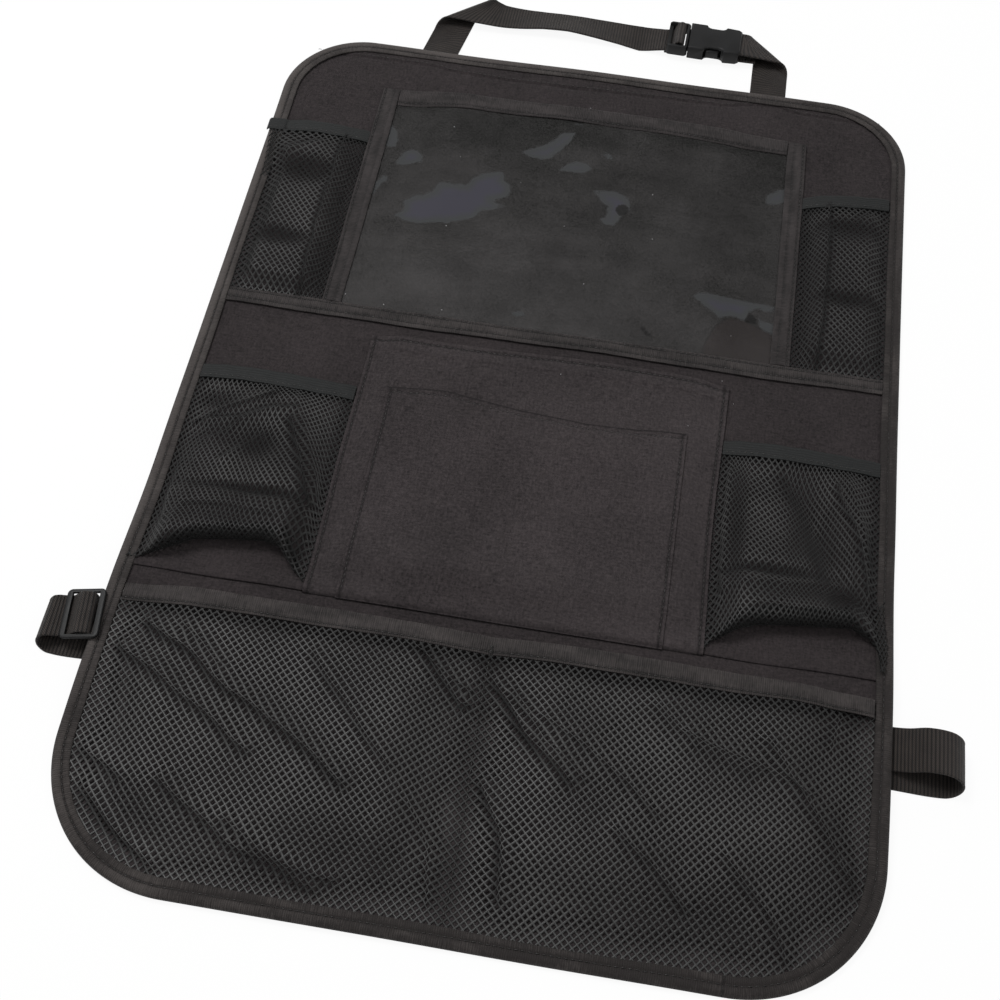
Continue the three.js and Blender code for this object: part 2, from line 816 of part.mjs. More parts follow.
// A loose fold in webbing: it turns over about the line midway between the way in and the way out
function foldStations(centre, inTurn, outTurn, lowZ, steps) {
  const way = (turn) => new THREE.Vector3(Math.cos(radians(turn)), Math.sin(radians(turn)), 0);
  const arriving = way(inTurn);
  const crease = way((inTurn + outTurn) / 2);
  const between = radians(Math.abs(inTurn - outTurn) / 2);
  const outwards = arriving.clone().addScaledVector(crease, -Math.cos(between)).normalize();
  const halfSpan = webbingWidth / 2 / Math.sin(between);
  return evenly(0, 180, steps).map((turn) => {
    const angle = radians(turn);
    const along = (foldRadius * (angle - Math.PI / 2)) / Math.tan(between);
    const middle = centre
      .clone()
      .setZ(lowZ + foldRadius * (1 - Math.cos(angle)))
      .addScaledVector(crease, along)
      .addScaledVector(outwards, foldRadius * Math.sin(angle));
    return { middle, half: crease.clone().multiplyScalar(halfSpan) };
  });
}

const webLow = webbingThickness / 2;

// The long top strap: up from the panel, over its fold, along the surface and round the plug's roll bar
function topStrapLong() {
  const inTurn = 90 - longStrapLean;
  const lean = Math.tan(radians(longStrapLean));
  const xAt = (y) => longStrapX + (y - halfHeight) * lean;
  const acrossX = Math.cos(radians(longStrapLean)) * (webbingWidth / 2);
  const acrossY = Math.sin(radians(longStrapLean)) * (webbingWidth / 2);
  const upHalf = new THREE.Vector3(-acrossX, acrossY, 0);
  const rising = [halfHeight - sewnLength, halfHeight - 4, halfHeight + 12].map((y) =>
    station(xAt(y), y, webLow, upHalf.clone()),
  );
  const foldCentre = new THREE.Vector3(xAt(longRunY), longRunY, 0);
  const fold = foldStations(foldCentre, inTurn, 0, webLow, 8);
  // In the fold the way to the edge is the crease, so it points to the same edge as upHalf
  fold.forEach((entry) => entry.half.negate());
  const flatHalf = new THREE.Vector3(0, -webbingWidth / 2, 0);
  const tiltedHalf = new THREE.Vector3(-6, -webbingWidth / 2, 0);
  const run = longRunX.map((x, k) => station(x, longRunY, longRunZ[k], k > 0 ? flatHalf : tiltedHalf));
  const under = -webOffset;
  const tail = under - webbingThickness - gap;
  const inPlug = stationsIn(buckle, [
    [plugLeft - 3, under - 0.5],
    [firstBar, under],
    [firstBar + barWidth / 2 + 0.45, under],
    [rollBar - barWidth / 2 - 0.45, webOffset],
    [rollBar + barWidth / 2, webOffset],
    [rollBar + barWidth / 2 + 0.85, 2],
    [rollBar + barWidth / 2 + 1.3, 0.9],
    [rollBar + barWidth / 2 + 1.3, -1.4],
    [rollBar + barWidth / 2 + 0.3, tail + 0.5],
    [rollBar - barWidth / 2, tail],
    [firstBar, tail],
    [plugLeft - 1, tail],
  ]);
  inPlug.forEach((entry) => entry.half.negate());
  return ribbonGeometry([...rising, ...fold, ...run, ...inPlug]);
}

// The short top strap: up from the panel, over its fold to the left and round the socket's end bar
function topStrapShort() {
  const upHalf = new THREE.Vector3(-webbingWidth / 2, 0, 0);
  const rising = [halfHeight - sewnLength, halfHeight - 4, halfHeight + 14].map((y) =>
    station(shortStrapX, y, webLow, upHalf.clone()),
  );
  const foldCentre = new THREE.Vector3(shortStrapX, buckleY - 3, 0);
  const fold = foldStations(foldCentre, 90, 180, webLow, 8);
  const wrap = endBarRadius + 1.5 * gap + webLow;
  const inSocket = stationsIn(buckle, [
    [socketRight + 2, wrap],
    [endBarX, wrap],
    ...turnPoints(endBarX, 0, wrap, 120, 240, 4),
    [endBarX, -wrap],
    [socketRight + 12, -wrap],
  ]);
  return ribbonGeometry([...rising, ...fold, ...inSocket]);
}

function slider() {
  const halfLength = sliderLength / 2;
  const halfAcross = sliderWidth / 2;
  const inside = halfAcross - sliderRail;
  const frame = roundedRectangle(-halfLength, halfLength, -halfAcross, halfAcross, 3);
  const hole = (fromX, toX) => boxSolid(fromX, toX, -inside, inside, -sliderThickness, sliderThickness);
  return geometryOf(
    plateSolid(frame, sliderThickness, 0.5)
      .subtract(hole(sliderBar - halfLength, -sliderCentreBar / 2))
      .subtract(hole(sliderCentreBar / 2, halfLength - sliderBar)),
  );
}

const sewnZ = strapRide - gap - webbingThickness / 2;
const sliderClear = sliderThickness / 2 + gap;
const pitchRise = (sliderLength / 2) * Math.sin(radians(Math.abs(sliderPitch)));
const sliderZ = strapRide + bindingHeight + sliderClear - pitchRise / 2 + 0.4;
const sliderGroup = placement(sliderX, sliderY, sliderZ, 0, sliderTurn, sliderPitch);

// A side loop's turn, in which the strap drifts down the panel
function loopTurn(points) {
  return points.map(([x, z], k) => [x, z, 0.45 + k * 0.08]);
}

// The lower strap: sewn at the right edge, looped back under the panel, looped up at the left, through the
// slider and sewn at the left edge
function lowerStrap() {
  const half = new THREE.Vector3(0, webbingWidth / 2, 0);
  const upperY = sliderY;
  const lowerY = sliderY + loopDrift;
  const rightX = halfWidth + loopBeyondRight - loopRadiusRight - webLow;
  const leftX = loopRadiusLeft + webLow - halfWidth - loopBeyondLeft;
  const rightZ = webLow + loopRadiusRight;
  const leftZ = webLow + loopRadiusLeft;
  const topZ = rightZ + loopRadiusRight;
  const drift = (share) => upperY + (lowerY - upperY) * share;
  const right = [
    [halfWidth - sewnLength, sewnZ, 0],
    [halfWidth + 2, sewnZ, 0],
    [halfWidth + 9, sewnZ + 3.4, 0.1],
    [halfWidth + 18, topZ - 1.6, 0.2],
    [rightX, topZ, 0.35],
    ...loopTurn(turnPoints(rightX, rightZ, loopRadiusRight, 65, -65, 6)),
    [rightX, webLow, 1],
  ];
  const run = evenly(rightX - 30, leftX + 30, 6).map((x) => [x, webLow, 1]);
  const left = [
    [leftX, webLow, 1],
    ...loopTurn(turnPoints(leftX, leftZ, loopRadiusLeft, 110, 245, 6)).reverse(),
  ];
  const world = [...right, ...run, ...left].map(([x, z, share]) => station(x, drift(share), z, half.clone()));
  const reach = sliderLength / 2;
  const under = -(sliderThickness / 2 + webLow + 1.5 * gap);
  const inSlider = stationsIn(sliderGroup, [
    [-reach, under],
    [sliderBar - reach, under],
    [-sliderCentreBar / 2, -under],
    [sliderCentreBar / 2, -under],
    [sliderCentreBar / 2 + 1.9, 0.9],
    [sliderCentreBar / 2 + 2.6, -1.6],
  ]);
  const sewn = [
    [-halfWidth - 2, sewnZ + 1.8],
    [-halfWidth - 0.2, sewnZ + 0.2],
    [-halfWidth + 3, sewnZ],
    [-halfWidth + sewnLength, sewnZ],
  ].map(([x, z]) => station(x, upperY, z, half.clone()));
  return ribbonGeometry([...world, ...inSlider, ...sewn]);
}

addPiece("back_panel", backPanel(), looks.cloth);
addPiece("edge_binding", edgeBinding(), looks.tape);
addPiece("tablet_window", tabletWindow(), looks.film);
addPiece("window_tape_left", windowSideTape(windowLeft, -1), looks.tape);
addPiece("window_tape_right", windowSideTape(windowRight, 1), looks.tape);
addPiece("window_hem_tape", windowHemTape(), looks.tape);
addPiece("shelf_tape", shelfTape(), looks.tape);
for (const [side, pocket] of Object.entries(upperPockets)) {
  addPiece("upper_net_" + side, upperNet(pocket), looks.net);
  addPiece("upper_elastic_" + side, mouthElastic(pocket, upperFace(pocket)), looks.elastic);
}
addPiece("centre_pocket", centrePocketSheet(), looks.cloth);
addPiece("small_pocket", smallPocketSheet(), looks.cloth);
for (const [side, pocket] of Object.entries(sidePockets)) {
  addPiece("side_net_" + side, sideNet(pocket, side === "left" ? -1 : 1), looks.net);
  addPiece("side_elastic_" + side, mouthElastic(pocket, sideFace(pocket)), looks.elastic);
}
addPiece("big_net", bigNet(), looks.net);
addPiece("big_pocket_tape", bigPocketTape(), looks.tape);
addPiece("buckle_plug", bucklePlug(), looks.plastic, buckle);
addPiece("buckle_socket", buckleSocket(), looks.plastic, buckle);
addPiece("top_strap_long", topStrapLong(), looks.webbing);
addPiece("top_strap_short", topStrapShort(), looks.webbing);
addPiece("slider", slider(), looks.plastic, sliderGroup);
addPiece("lower_strap", lowerStrap(), looks.webbing);

// The part's origin is under the middle of its outer box
const part = new THREE.Group();
part.add(organizer);
part.updateMatrixWorld(true);
const reachBox = new THREE.Box3().setFromObject(organizer, true);
const middlePoint = reachBox.getCenter(new THREE.Vector3());
organizer.position.set(-middlePoint.x, -middlePoint.y, -reachBox.min.z);

export default part;
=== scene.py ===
# Car seat back organizer: the cloth, nets, film, straps and stitching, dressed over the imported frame
import math
import random

import bpy
import numpy as np
from mathutils import Matrix, Vector


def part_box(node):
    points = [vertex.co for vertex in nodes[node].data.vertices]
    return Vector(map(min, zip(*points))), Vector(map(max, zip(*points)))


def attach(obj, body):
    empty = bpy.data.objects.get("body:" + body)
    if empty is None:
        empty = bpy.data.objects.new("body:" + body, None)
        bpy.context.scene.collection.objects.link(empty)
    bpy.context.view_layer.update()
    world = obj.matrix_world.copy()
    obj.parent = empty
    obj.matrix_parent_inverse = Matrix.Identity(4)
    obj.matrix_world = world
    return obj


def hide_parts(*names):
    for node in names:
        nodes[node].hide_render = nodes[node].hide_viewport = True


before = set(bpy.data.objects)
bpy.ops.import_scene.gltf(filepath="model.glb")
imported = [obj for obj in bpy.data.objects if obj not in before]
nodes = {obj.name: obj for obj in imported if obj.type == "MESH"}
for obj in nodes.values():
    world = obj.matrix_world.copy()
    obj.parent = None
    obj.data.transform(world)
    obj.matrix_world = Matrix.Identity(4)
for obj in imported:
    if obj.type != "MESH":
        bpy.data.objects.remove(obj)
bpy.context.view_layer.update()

mm = 0.001

panelLow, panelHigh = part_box("back_panel")
centreX = (panelLow.x + panelHigh.x) / 2
centreY = (panelLow.y + panelHigh.y) / 2

# Sizes in millimetres, measured from the middle of the panel, with Z up from the floor
panel = {
    "width": 430, "height": 620, "topRadius": 55, "bottomRadius": 76, "thickness": 1.6,
    "under": 1.0, "top": 2.6, "seam": 2.9, "tape": 3.8, "bindingTop": 4.5,
}
bindingSize = {"width": 10, "thickness": 0.7, "stitchInset": 5.7}
strapBelow = {"y": -172, "band": 20, "reach": 95, "ride": 5.4}
topRide = {"height": 1.7, "reach": 90}
fold = {"y": -130.6, "height": 1.5, "run": 12}
halfWidth, halfHeight = panel["width"] / 2, panel["height"] / 2
bindingInside = halfWidth - bindingSize["width"]


def ease(share):
    t = np.clip(share, 0, 1)
    return t * t * (3 - 2 * t)


def bell(distance, width):
    return np.exp(-0.5 * (distance / width) ** 2)


def between(value, low, high, run):
    # 1 well inside two edges, easing to 0 at each over its run
    return ease((value - low) / run) * ease((high - value) / run)


def lift(y):
    # how far the strap below and the turned-down top raise the panel
    past = np.maximum(np.abs(y - strapBelow["y"]) - strapBelow["band"], 0)
    overTop = topRide["height"] * ease((y - halfHeight + topRide["reach"]) / topRide["reach"])
    return strapBelow["ride"] * ease(1 - past / strapBelow["reach"]) + overTop


def drape(x, y):
    # the slow waves that all the layers share
    rolling = 0.45 * np.sin(x / 47 + y / 90 + 0.6) * np.sin(y / 61 - x / 150)
    return rolling + 0.25 * np.sin(x / 23 - y / 37 + 1.1) * np.sin(y / 29 + 0.4)


def ledge(y):
    # the doubled cloth just above the fold at the foot of the pockets
    return np.where(y > fold["y"] - 0.2, fold["height"] * (1 - ease((y - fold["y"]) / fold["run"])), 0)


def cloth(x, y):
    return lift(y) + drape(x, y) + 0.55


def ground(x, y):
    return cloth(x, y) + ledge(y)


def onSeam(x, y, height):
    # height above the place where a pocket is sewn to the panel
    return ground(x, y) + panel["seam"] + height


def halfAt(y, inset):
    # half the panel's width at y, less the inset
    y = np.asarray(y, float)
    radius = np.where(y > 0, panel["topRadius"], panel["bottomRadius"]) - inset
    past = np.clip(np.abs(y) - (halfHeight - inset - radius), 0, radius)
    return halfWidth - inset - radius + np.sqrt(np.maximum(radius**2 - past**2, 0))


def puff(x, y, pocket):
    # how far a pocket's front stands up: nothing at its sides and foot, its whole rise inside
    run = pocket["run"]
    sides = between(x, pocket["left"], pocket["right"], run)
    return pocket["rise"] * sides * ease((y - pocket["bottom"]) / run)


def nearPath(x, y, path):
    # how far along a bent line a point lies, and how far to its left
    nearest = np.full(np.shape(x), 1e9)
    along, across = np.zeros(np.shape(x)), np.zeros(np.shape(x))
    way = np.zeros((2,) + np.shape(x))
    start, last = 0.0, len(path) - 2
    for k, ((x0, y0), (x1, y1)) in enumerate(zip(path, path[1:])):
        length = math.hypot(x1 - x0, y1 - y0)
        wayX, wayY = (x1 - x0) / length, (y1 - y0) / length
        reach = (x - x0) * wayX + (y - y0) * wayY
        held = np.clip(reach, -1e9 if k == 0 else 0, 1e9 if k == last else length)
        aside = (y - y0) * wayX - (x - x0) * wayY
        distance = np.hypot(aside, reach - held)
        closer = distance < nearest
        nearest = np.where(closer, distance, nearest)
        along = np.where(closer, start + held, along)
        across = np.where(closer, np.sign(aside) * distance, across)
        way = np.where(closer, np.array([wayX, wayY]).reshape((2,) + (1,) * np.ndim(x)), way)
        start += length
    return along, across, way, start


def foldShift(x, y, folds, dents=()):
    # a fold has its bent line, width, height, pinch and shade, and its right side is steep and dark;
    # a dent has its middle, radii, depth and shade
    shift = np.zeros((3,) + np.shape(x))
    shade = np.zeros(np.shape(x))
    for path, width, height, pinch, dark in folds:
        along, across, way, length = nearPath(x, y, path)
        across = across + 0.2 * width * np.sin(along / (2.3 * width) + path[0][0])
        fade = ease((along + width) / (3 * width)) * ease((length + width - along) / (3 * width))
        hill = bell(across, np.where(across > 0, 1.6, 0.7) * width) * fade
        draw = pinch * (across / width) * bell(across, width) * fade
        shift[0] += draw * way[1]
        shift[1] -= draw * way[0]
        shift[2] += height * hill
        shade = np.maximum(shade, dark * bell(across + 0.9 * width, 0.85 * width) * fade)
    for (x0, y0), (rx, ry), depth, dark in dents:
        bowl = np.exp(-0.5 * (((x - x0) / rx) ** 2 + ((y - y0) / ry) ** 2))
        shift[2] -= depth * bowl
        shade = np.maximum(shade, dark * bowl)
    return shift, shade


def makePiece(name, points, faces, material, uv=None, marks=None):
    # points are in millimetres from the panel's middle, and uv in metres of cloth; marks are values at
    # the points that the finishes use
    mesh = bpy.data.meshes.new(name)
    corners = np.asarray(points, float).reshape(-1, 3) * mm + (centreX, centreY, 0)
    mesh.from_pydata(corners.tolist(), [], [tuple(int(i) for i in face) for face in faces])
    mesh.validate()
    mesh.polygons.foreach_set("use_smooth", [True] * len(mesh.polygons))
    if uv is not None:
        layer = mesh.uv_layers.new(name="cloth")
        index = np.empty(len(mesh.loops), int)
        mesh.loops.foreach_get("vertex_index", index)
        layer.data.foreach_set("uv", np.asarray(uv, float)[index].ravel())
    for key, values in (marks or {}).items():
        mesh.attributes.new(key, "FLOAT", "POINT").data.foreach_set("value", np.asarray(values, float))
    mesh.materials.append(material)
    piece = bpy.data.objects.new(name, mesh)
    bpy.context.scene.collection.objects.link(piece)
    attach(piece, "root")
    return piece


def stands(node):
    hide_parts(node)


def gridFaces(columns, rows, start=0, flip=False):
    i, j = np.meshgrid(np.arange(columns - 1), np.arange(rows - 1), indexing="ij")
    a = (start + i * rows + j).ravel()
    quads = np.stack([a, a + rows, a + rows + 1, a + 1], 1)
    return quads[:, ::-1] if flip else quads


def slab(name, top, thickness, material, uv=None, marks=None):
    # a closed sheet: top is a grid of points (columns, rows, 3) and its underside lies below it
    columns, rows = top.shape[:2]
    under = top.copy()
    under[..., 2] -= thickness
    count = columns * rows
    faces = [gridFaces(columns, rows), gridFaces(columns, rows, count, flip=True)]
    rim = [(i, 0) for i in range(columns)] + [(columns - 1, j) for j in range(1, rows)]
    rim += [(i, rows - 1) for i in range(columns - 2, -1, -1)] + [(0, j) for j in range(rows - 2, 0, -1)]
    ids = np.array([i * rows + j for i, j in rim])
    after = np.roll(ids, -1)
    faces.append(np.stack([ids, ids + count, after + count, after], 1))
    points = np.concatenate([top.reshape(-1, 3), under.reshape(-1, 3)])
    flat = points[:, :2] * mm if uv is None else np.concatenate([uv.reshape(-1, 2)] * 2)
    doubled = {key: np.concatenate([values.ravel()] * 2) for key, values in (marks or {}).items()}
    piece = makePiece(name, points, np.concatenate(faces), material, uv=flat, marks=doubled)
    piece.data.set_sharp_from_angle(angle=math.radians(50))
    return piece


def linesWith(start, stop, step, *seams):
    # even grid lines, with close ones at the places where a seam dips
    lines = list(np.linspace(start, stop, max(2, int(round(abs(stop - start) / step)) + 1)))
    for seam in seams:
        lines = [v for v in lines if abs(v - seam) > 1.7 or v in (start, stop)]
        lines += [seam + d for d in (-1.5, -0.6, 0, 0.6, 1.5) if start < seam + d < stop]
    return np.array(sorted(set(round(float(v), 4) for v in lines)))


def dip(value, seam, depth=0.35, width=0.7):
    # the groove that a row of stitches draws into the cloth
    return -depth * bell(value - seam, width)


# Materials


class Sock:
    # a shader socket or a number, with the sums that are used
    def __init__(self, maker, link):
        self.maker, self.link = maker, link

    def math(self, operation, *others, clamp=False):
        values = [self.link] + [o.link if isinstance(o, Sock) else o for o in others]
        return self.maker.node("ShaderNodeMath", {"operation": operation, "use_clamp": clamp}, values)

    def __add__(self, other):
        return self.math("ADD", other)

    __radd__ = __add__

    def __mul__(self, other):
        return self.math("MULTIPLY", other)

    __rmul__ = __mul__

    def __sub__(self, other):
        return self.math("SUBTRACT", other)

    def __rsub__(self, other):
        return (self * -1) + other

    def limit(self):
        return self.math("ADD", 0, clamp=True)

    def sine(self, length):
        # a wave of this length in millimetres
        return (self * (2 * math.pi / (length * mm))).math("SINE")

    def size(self):
        return self.math("ABSOLUTE")

    def power(self, exponent):
        return self.math("POWER", exponent)

    def over(self, low, high):
        return ((self - low) * (1 / (high - low))).limit()


class Wiring:
    # the nodes of one material, or of the world
    def __init__(self, tree):
        self.tree = tree

    def node(self, kind, settings=None, values=(), output=0):
        made = self.tree.nodes.new(kind)
        for key, value in (settings or {}).items():
            setattr(made, key, value)
        pairs = values.items() if isinstance(values, dict) else enumerate(values)
        for key, value in pairs:
            value = value.link if isinstance(value, Sock) else value
            if isinstance(value, bpy.types.NodeSocket):
                self.tree.links.new(value, made.inputs[key])
            else:
                made.inputs[key].default_value = value
        return Sock(self, made.outputs[output])

    def rays(self, *names):
        # the sum of Light Path's kinds of ray, at most 1
        path = self.node("ShaderNodeLightPath").link.node
        kinds = [Sock(self, path.outputs["Is " + name + " Ray"]) for name in names]
        return sum(kinds[1:], kinds[0]).limit()


class Finish(Wiring):
    # one material with its shader
    def __init__(self, name, **settings):
        self.material = bpy.data.materials.new(name)
        self.material.use_nodes = True
        super().__init__(self.material.node_tree)
        self.tree.nodes.clear()
        self.shader = self.tree.nodes.new("ShaderNodeBsdfPrincipled")
        self.output = self.tree.nodes.new("ShaderNodeOutputMaterial")
        self.tree.links.new(self.shader.outputs[0], self.output.inputs["Surface"])
        for key, value in settings.items():
            self.shader.inputs[key.replace("_", " ")].default_value = value

    def parts(self, vector):
        made = self.node("ShaderNodeSeparateXYZ", values=[vector]).link.node
        return [Sock(self, made.outputs[k]) for k in range(3)]

    def place(self):
        return self.node("ShaderNodeTexCoord", output="Object")

    def laid(self):
        # the piece's own flat coordinates, in metres along and across
        return self.node("ShaderNodeUVMap", {"uv_map": "cloth"})

    def mark(self, name):
        # a value stored on the mesh
        return self.node("ShaderNodeAttribute", {"attribute_name": name}, output="Fac")

    def noise(self, vector, scale, detail=2.0, roughness=0.5):
        values = {"Vector": vector, "Scale": scale, "Detail": detail, "Roughness": roughness}
        return self.node("ShaderNodeTexNoise", values=values)

    def streaks(self, vector, along, across, detail=2.0, roughness=0.5):
        values = {"Vector": vector, "Scale": (along, across, 1)}
        return self.noise(self.node("ShaderNodeMapping", values=values), 1.0, detail, roughness)

    def mix(self, share, first, second):
        values = {0: share, 6: first, 7: second}   # the colour sockets of a Mix node
        return self.node("ShaderNodeMix", {"data_type": "RGBA"}, values, output=2)

    def feed(self, **links):
        for key, value in links.items():
            self.tree.links.new(value.link, self.shader.inputs[key.replace("_", " ")])
        return self

    def bump(self, height, strength, distance):
        values = {"Height": height, "Strength": strength, "Distance": distance}
        return self.feed(Normal=self.node("ShaderNodeBump", values=values))


def tone(*levels):
    # a colour written as 0-255 screen levels
    linear = [((v / 255 + 0.055) / 1.055) ** 2.4 if v > 10.3 else v / 255 / 12.92 for v in levels]
    return tuple(linear) + (1.0,)


def wovenCloth(name, dark, light):
    # plain weave with slubs, with painted shade along the stitch grooves, seams and pocket edges
    finish = Finish(name, Sheen_Weight=0.05, Sheen_Roughness=0.6, Specular_IOR_Level=0.18)
    place = finish.place()
    x, y, _ = finish.parts(place)
    weave = x.sine(0.62) * y.sine(0.62)
    slubs = finish.streaks(place, 900, 160) + finish.streaks(place, 160, 900)
    grain = finish.noise(place, 620, 3, 0.75)
    broad = finish.noise(place, 16, 3, 0.6)
    fine = finish.noise(place, 1500, 2, 0.7)
    share = (grain - 0.5) * 1.8 + (broad - 0.5) * 0.9 + (slubs - 1) * 0.7 + 0.52
    # painted shade: darker where the groove mark lies, along stitch lines and edges
    share = (share - finish.mark("groove") * 0.75).limit()
    finish.feed(Base_Color=finish.mix(share, dark, light), Roughness=(fine * 0.12 + 0.8).limit())
    return finish.bump(weave * 0.4 + slubs * 0.9 + grain * 1.6 + fine * 0.5, 0.7, 0.00016)


def ribbedTape(name, dark, light, bright=None):
    # narrow woven tape: ribs across it, streaks, and soft dark blotches where it is pressed; painted
    # highlight on its ribs and painted shade along its stitch lines
    finish = Finish(name, Sheen_Weight=0.05, Sheen_Roughness=0.55, Specular_IOR_Level=0.25)
    laid = finish.laid()
    u, v, _ = finish.parts(laid)
    ribs, threads = u.sine(1.15) * 0.5 + 0.5, v.sine(0.5) * 0.5 + 0.5
    streaks = finish.streaks(laid, 1100, 130, 3, 0.7)
    broad = finish.streaks(laid, 28, 90, 3, 0.6)
    # the ribs' share is a painted highlight on their tops, and the groove mark is painted shade along the
    # stitch lines
    share = ribs * 0.22 + (streaks - 0.5) * 1.6 + (broad - 0.5) * 1.7 + 0.34 - finish.mark("groove") * 0.42
    if bright:
        low, high = bright   # the band of the tape's width that catches the light, in millimetres
        band = v.over(low * mm, (low + 0.8) * mm) * (1 - v.over((high - 0.8) * mm, high * mm))
        x, y, _ = finish.parts(finish.place())
        lit = (0.45 - x * 2.0 + y * 1.2).limit()   # painted light: the left and top sides lighter, the right and bottom darker, as lit from the left
        share = share + band * lit * 0.5 + lit * 0.4 - 0.4
    finish.feed(Base_Color=finish.mix(share.limit(), dark, light), Roughness=(streaks * 0.2 + 0.62).limit())
    return finish.bump(ribs + threads * 0.25 + streaks * 0.8, 0.9, 0.00018)


def elasticBand(name, dark, light):
    # lengthwise cords with fine cross threads, with painted shade in the hollows between them
    finish = Finish(name, Sheen_Weight=0.05, Sheen_Roughness=0.5, Specular_IOR_Level=0.3)
    laid = finish.laid()
    u, v, _ = finish.parts(laid)
    cords, threads = v.sine(1.7) * 0.5 + 0.5, u.sine(0.7) * 0.5 + 0.5
    streaks = finish.streaks(laid, 60, 900, 3, 0.7)
    # painted shade: the colour follows the cords and threads, darker between them
    share = (cords * 0.55 + threads * 0.15 + (streaks - 0.5) * 1.3 + 0.05).limit()
    finish.feed(Base_Color=finish.mix(share, dark, light), Roughness=(streaks * 0.2 + 0.55).limit())
    return finish.bump(cords + threads * 0.25 + streaks * 0.3, 0.9, 0.0003)


def strapWeave(name, dark, light):
    # heavy webbing: bold ribs across it, each broken into small floats that step from rib to rib, with
    # painted shade in the hollows between them
    finish = Finish(name, Sheen_Weight=0.05, Sheen_Roughness=0.5, Specular_IOR_Level=0.3)
    laid = finish.laid()
    u, v, _ = finish.parts(laid)
    ribs = u.sine(4.0).size().power(0.6)
    floats = (v * (1 / 1.3) + u * (1 / 1.1)).sine(2.0).size().power(0.7)
    fine = finish.streaks(laid, 1500, 1500, 2, 0.7)
    broad = finish.streaks(laid, 60, 120)
    height = ribs * (floats * 0.75 + 0.25)
    # painted shade: the colour follows the weave's height, near black in the hollows
    share = (height * 1.35 + (fine - 0.5) + (broad - 0.5) * 0.6 - 0.42).limit()
    finish.feed(Base_Color=finish.mix(share, dark, light), Roughness=(fine * 0.2 + 0.5).limit())
    return finish.bump(height + fine * 0.2, 1.0, 0.00045)


def mouldedPlastic(name, dark, light):
    finish = Finish(name, Specular_IOR_Level=0.32, IOR=1.5)
    place = finish.place()
    grain = finish.noise(place, 2600, 2, 0.6)
    wear = finish.noise(place, 90, 4, 0.6)
    finish.feed(Base_Color=finish.mix(wear.over(0.4, 0.75), dark, light))
    finish.feed(Roughness=(wear * 0.2 + grain * 0.1 + 0.36).limit())
    return finish.bump(grain, 0.35, 0.00006)


def knitThread(name, dark, light, shaded=False):
    # glossy thread; where the net is bunched it lies in its own shade
    finish = Finish(name, Specular_IOR_Level=0.5, Sheen_Weight=0.03, Sheen_Roughness=0.4)
    place = finish.place()
    fine = finish.noise(place, 2100, 2, 0.6)
    broad = finish.noise(place, 24, 3)
    share = (fine - 0.5) * 0.9 + (broad - 0.5) * 1.2 + 0.5
    rough = fine * 0.2 + 0.34
    if shaded:
        shade = finish.mark("shade")
        share = share - shade * 0.8
        rough = rough + shade * 0.5
    finish.feed(Base_Color=finish.mix(share.limit(), dark, light), Roughness=rough.limit())
    return finish.bump(fine, 0.5, 0.0001)


looks = {key: finish.material for key, finish in {
    "cloth": wovenCloth("cloth_canvas", tone(21, 17, 18), tone(55, 49, 50)),
    "pocketCloth": wovenCloth("cloth_pocket", tone(28, 24, 25), tone(64, 58, 59)),
    "binding": ribbedTape("tape_binding", tone(34, 30, 29), tone(76, 71, 69), bright=(5.2, 10.5)),
    "tape": ribbedTape("tape_seam", tone(19, 16, 16), tone(67, 62, 61)),
    "windowTape": ribbedTape("tape_window", tone(18, 15, 15), tone(62, 57, 57)),
    "elastic": elasticBand("elastic_band", tone(17, 18, 18), tone(34, 36, 36)),
    "net": knitThread("net_thread", tone(8, 8, 8), tone(66, 66, 65), shaded=True),
    "webbing": strapWeave("strap_webbing", tone(6, 4, 4), tone(62, 55, 51)),
    "plastic": mouldedPlastic("plastic_buckle", tone(12, 12, 13), tone(22, 22, 23)),
    "thread": knitThread("stitch_thread", tone(22, 20, 19), tone(50, 48, 47)),
}.items()}


def lintFinish():
    finish = Finish("lint_fibre", Roughness=0.8, Sheen_Weight=0.2)
    fine = finish.noise(finish.place(), 3000, 2)
    return finish.feed(Base_Color=finish.mix(fine, tone(150, 148, 150), tone(215, 213, 216))).material


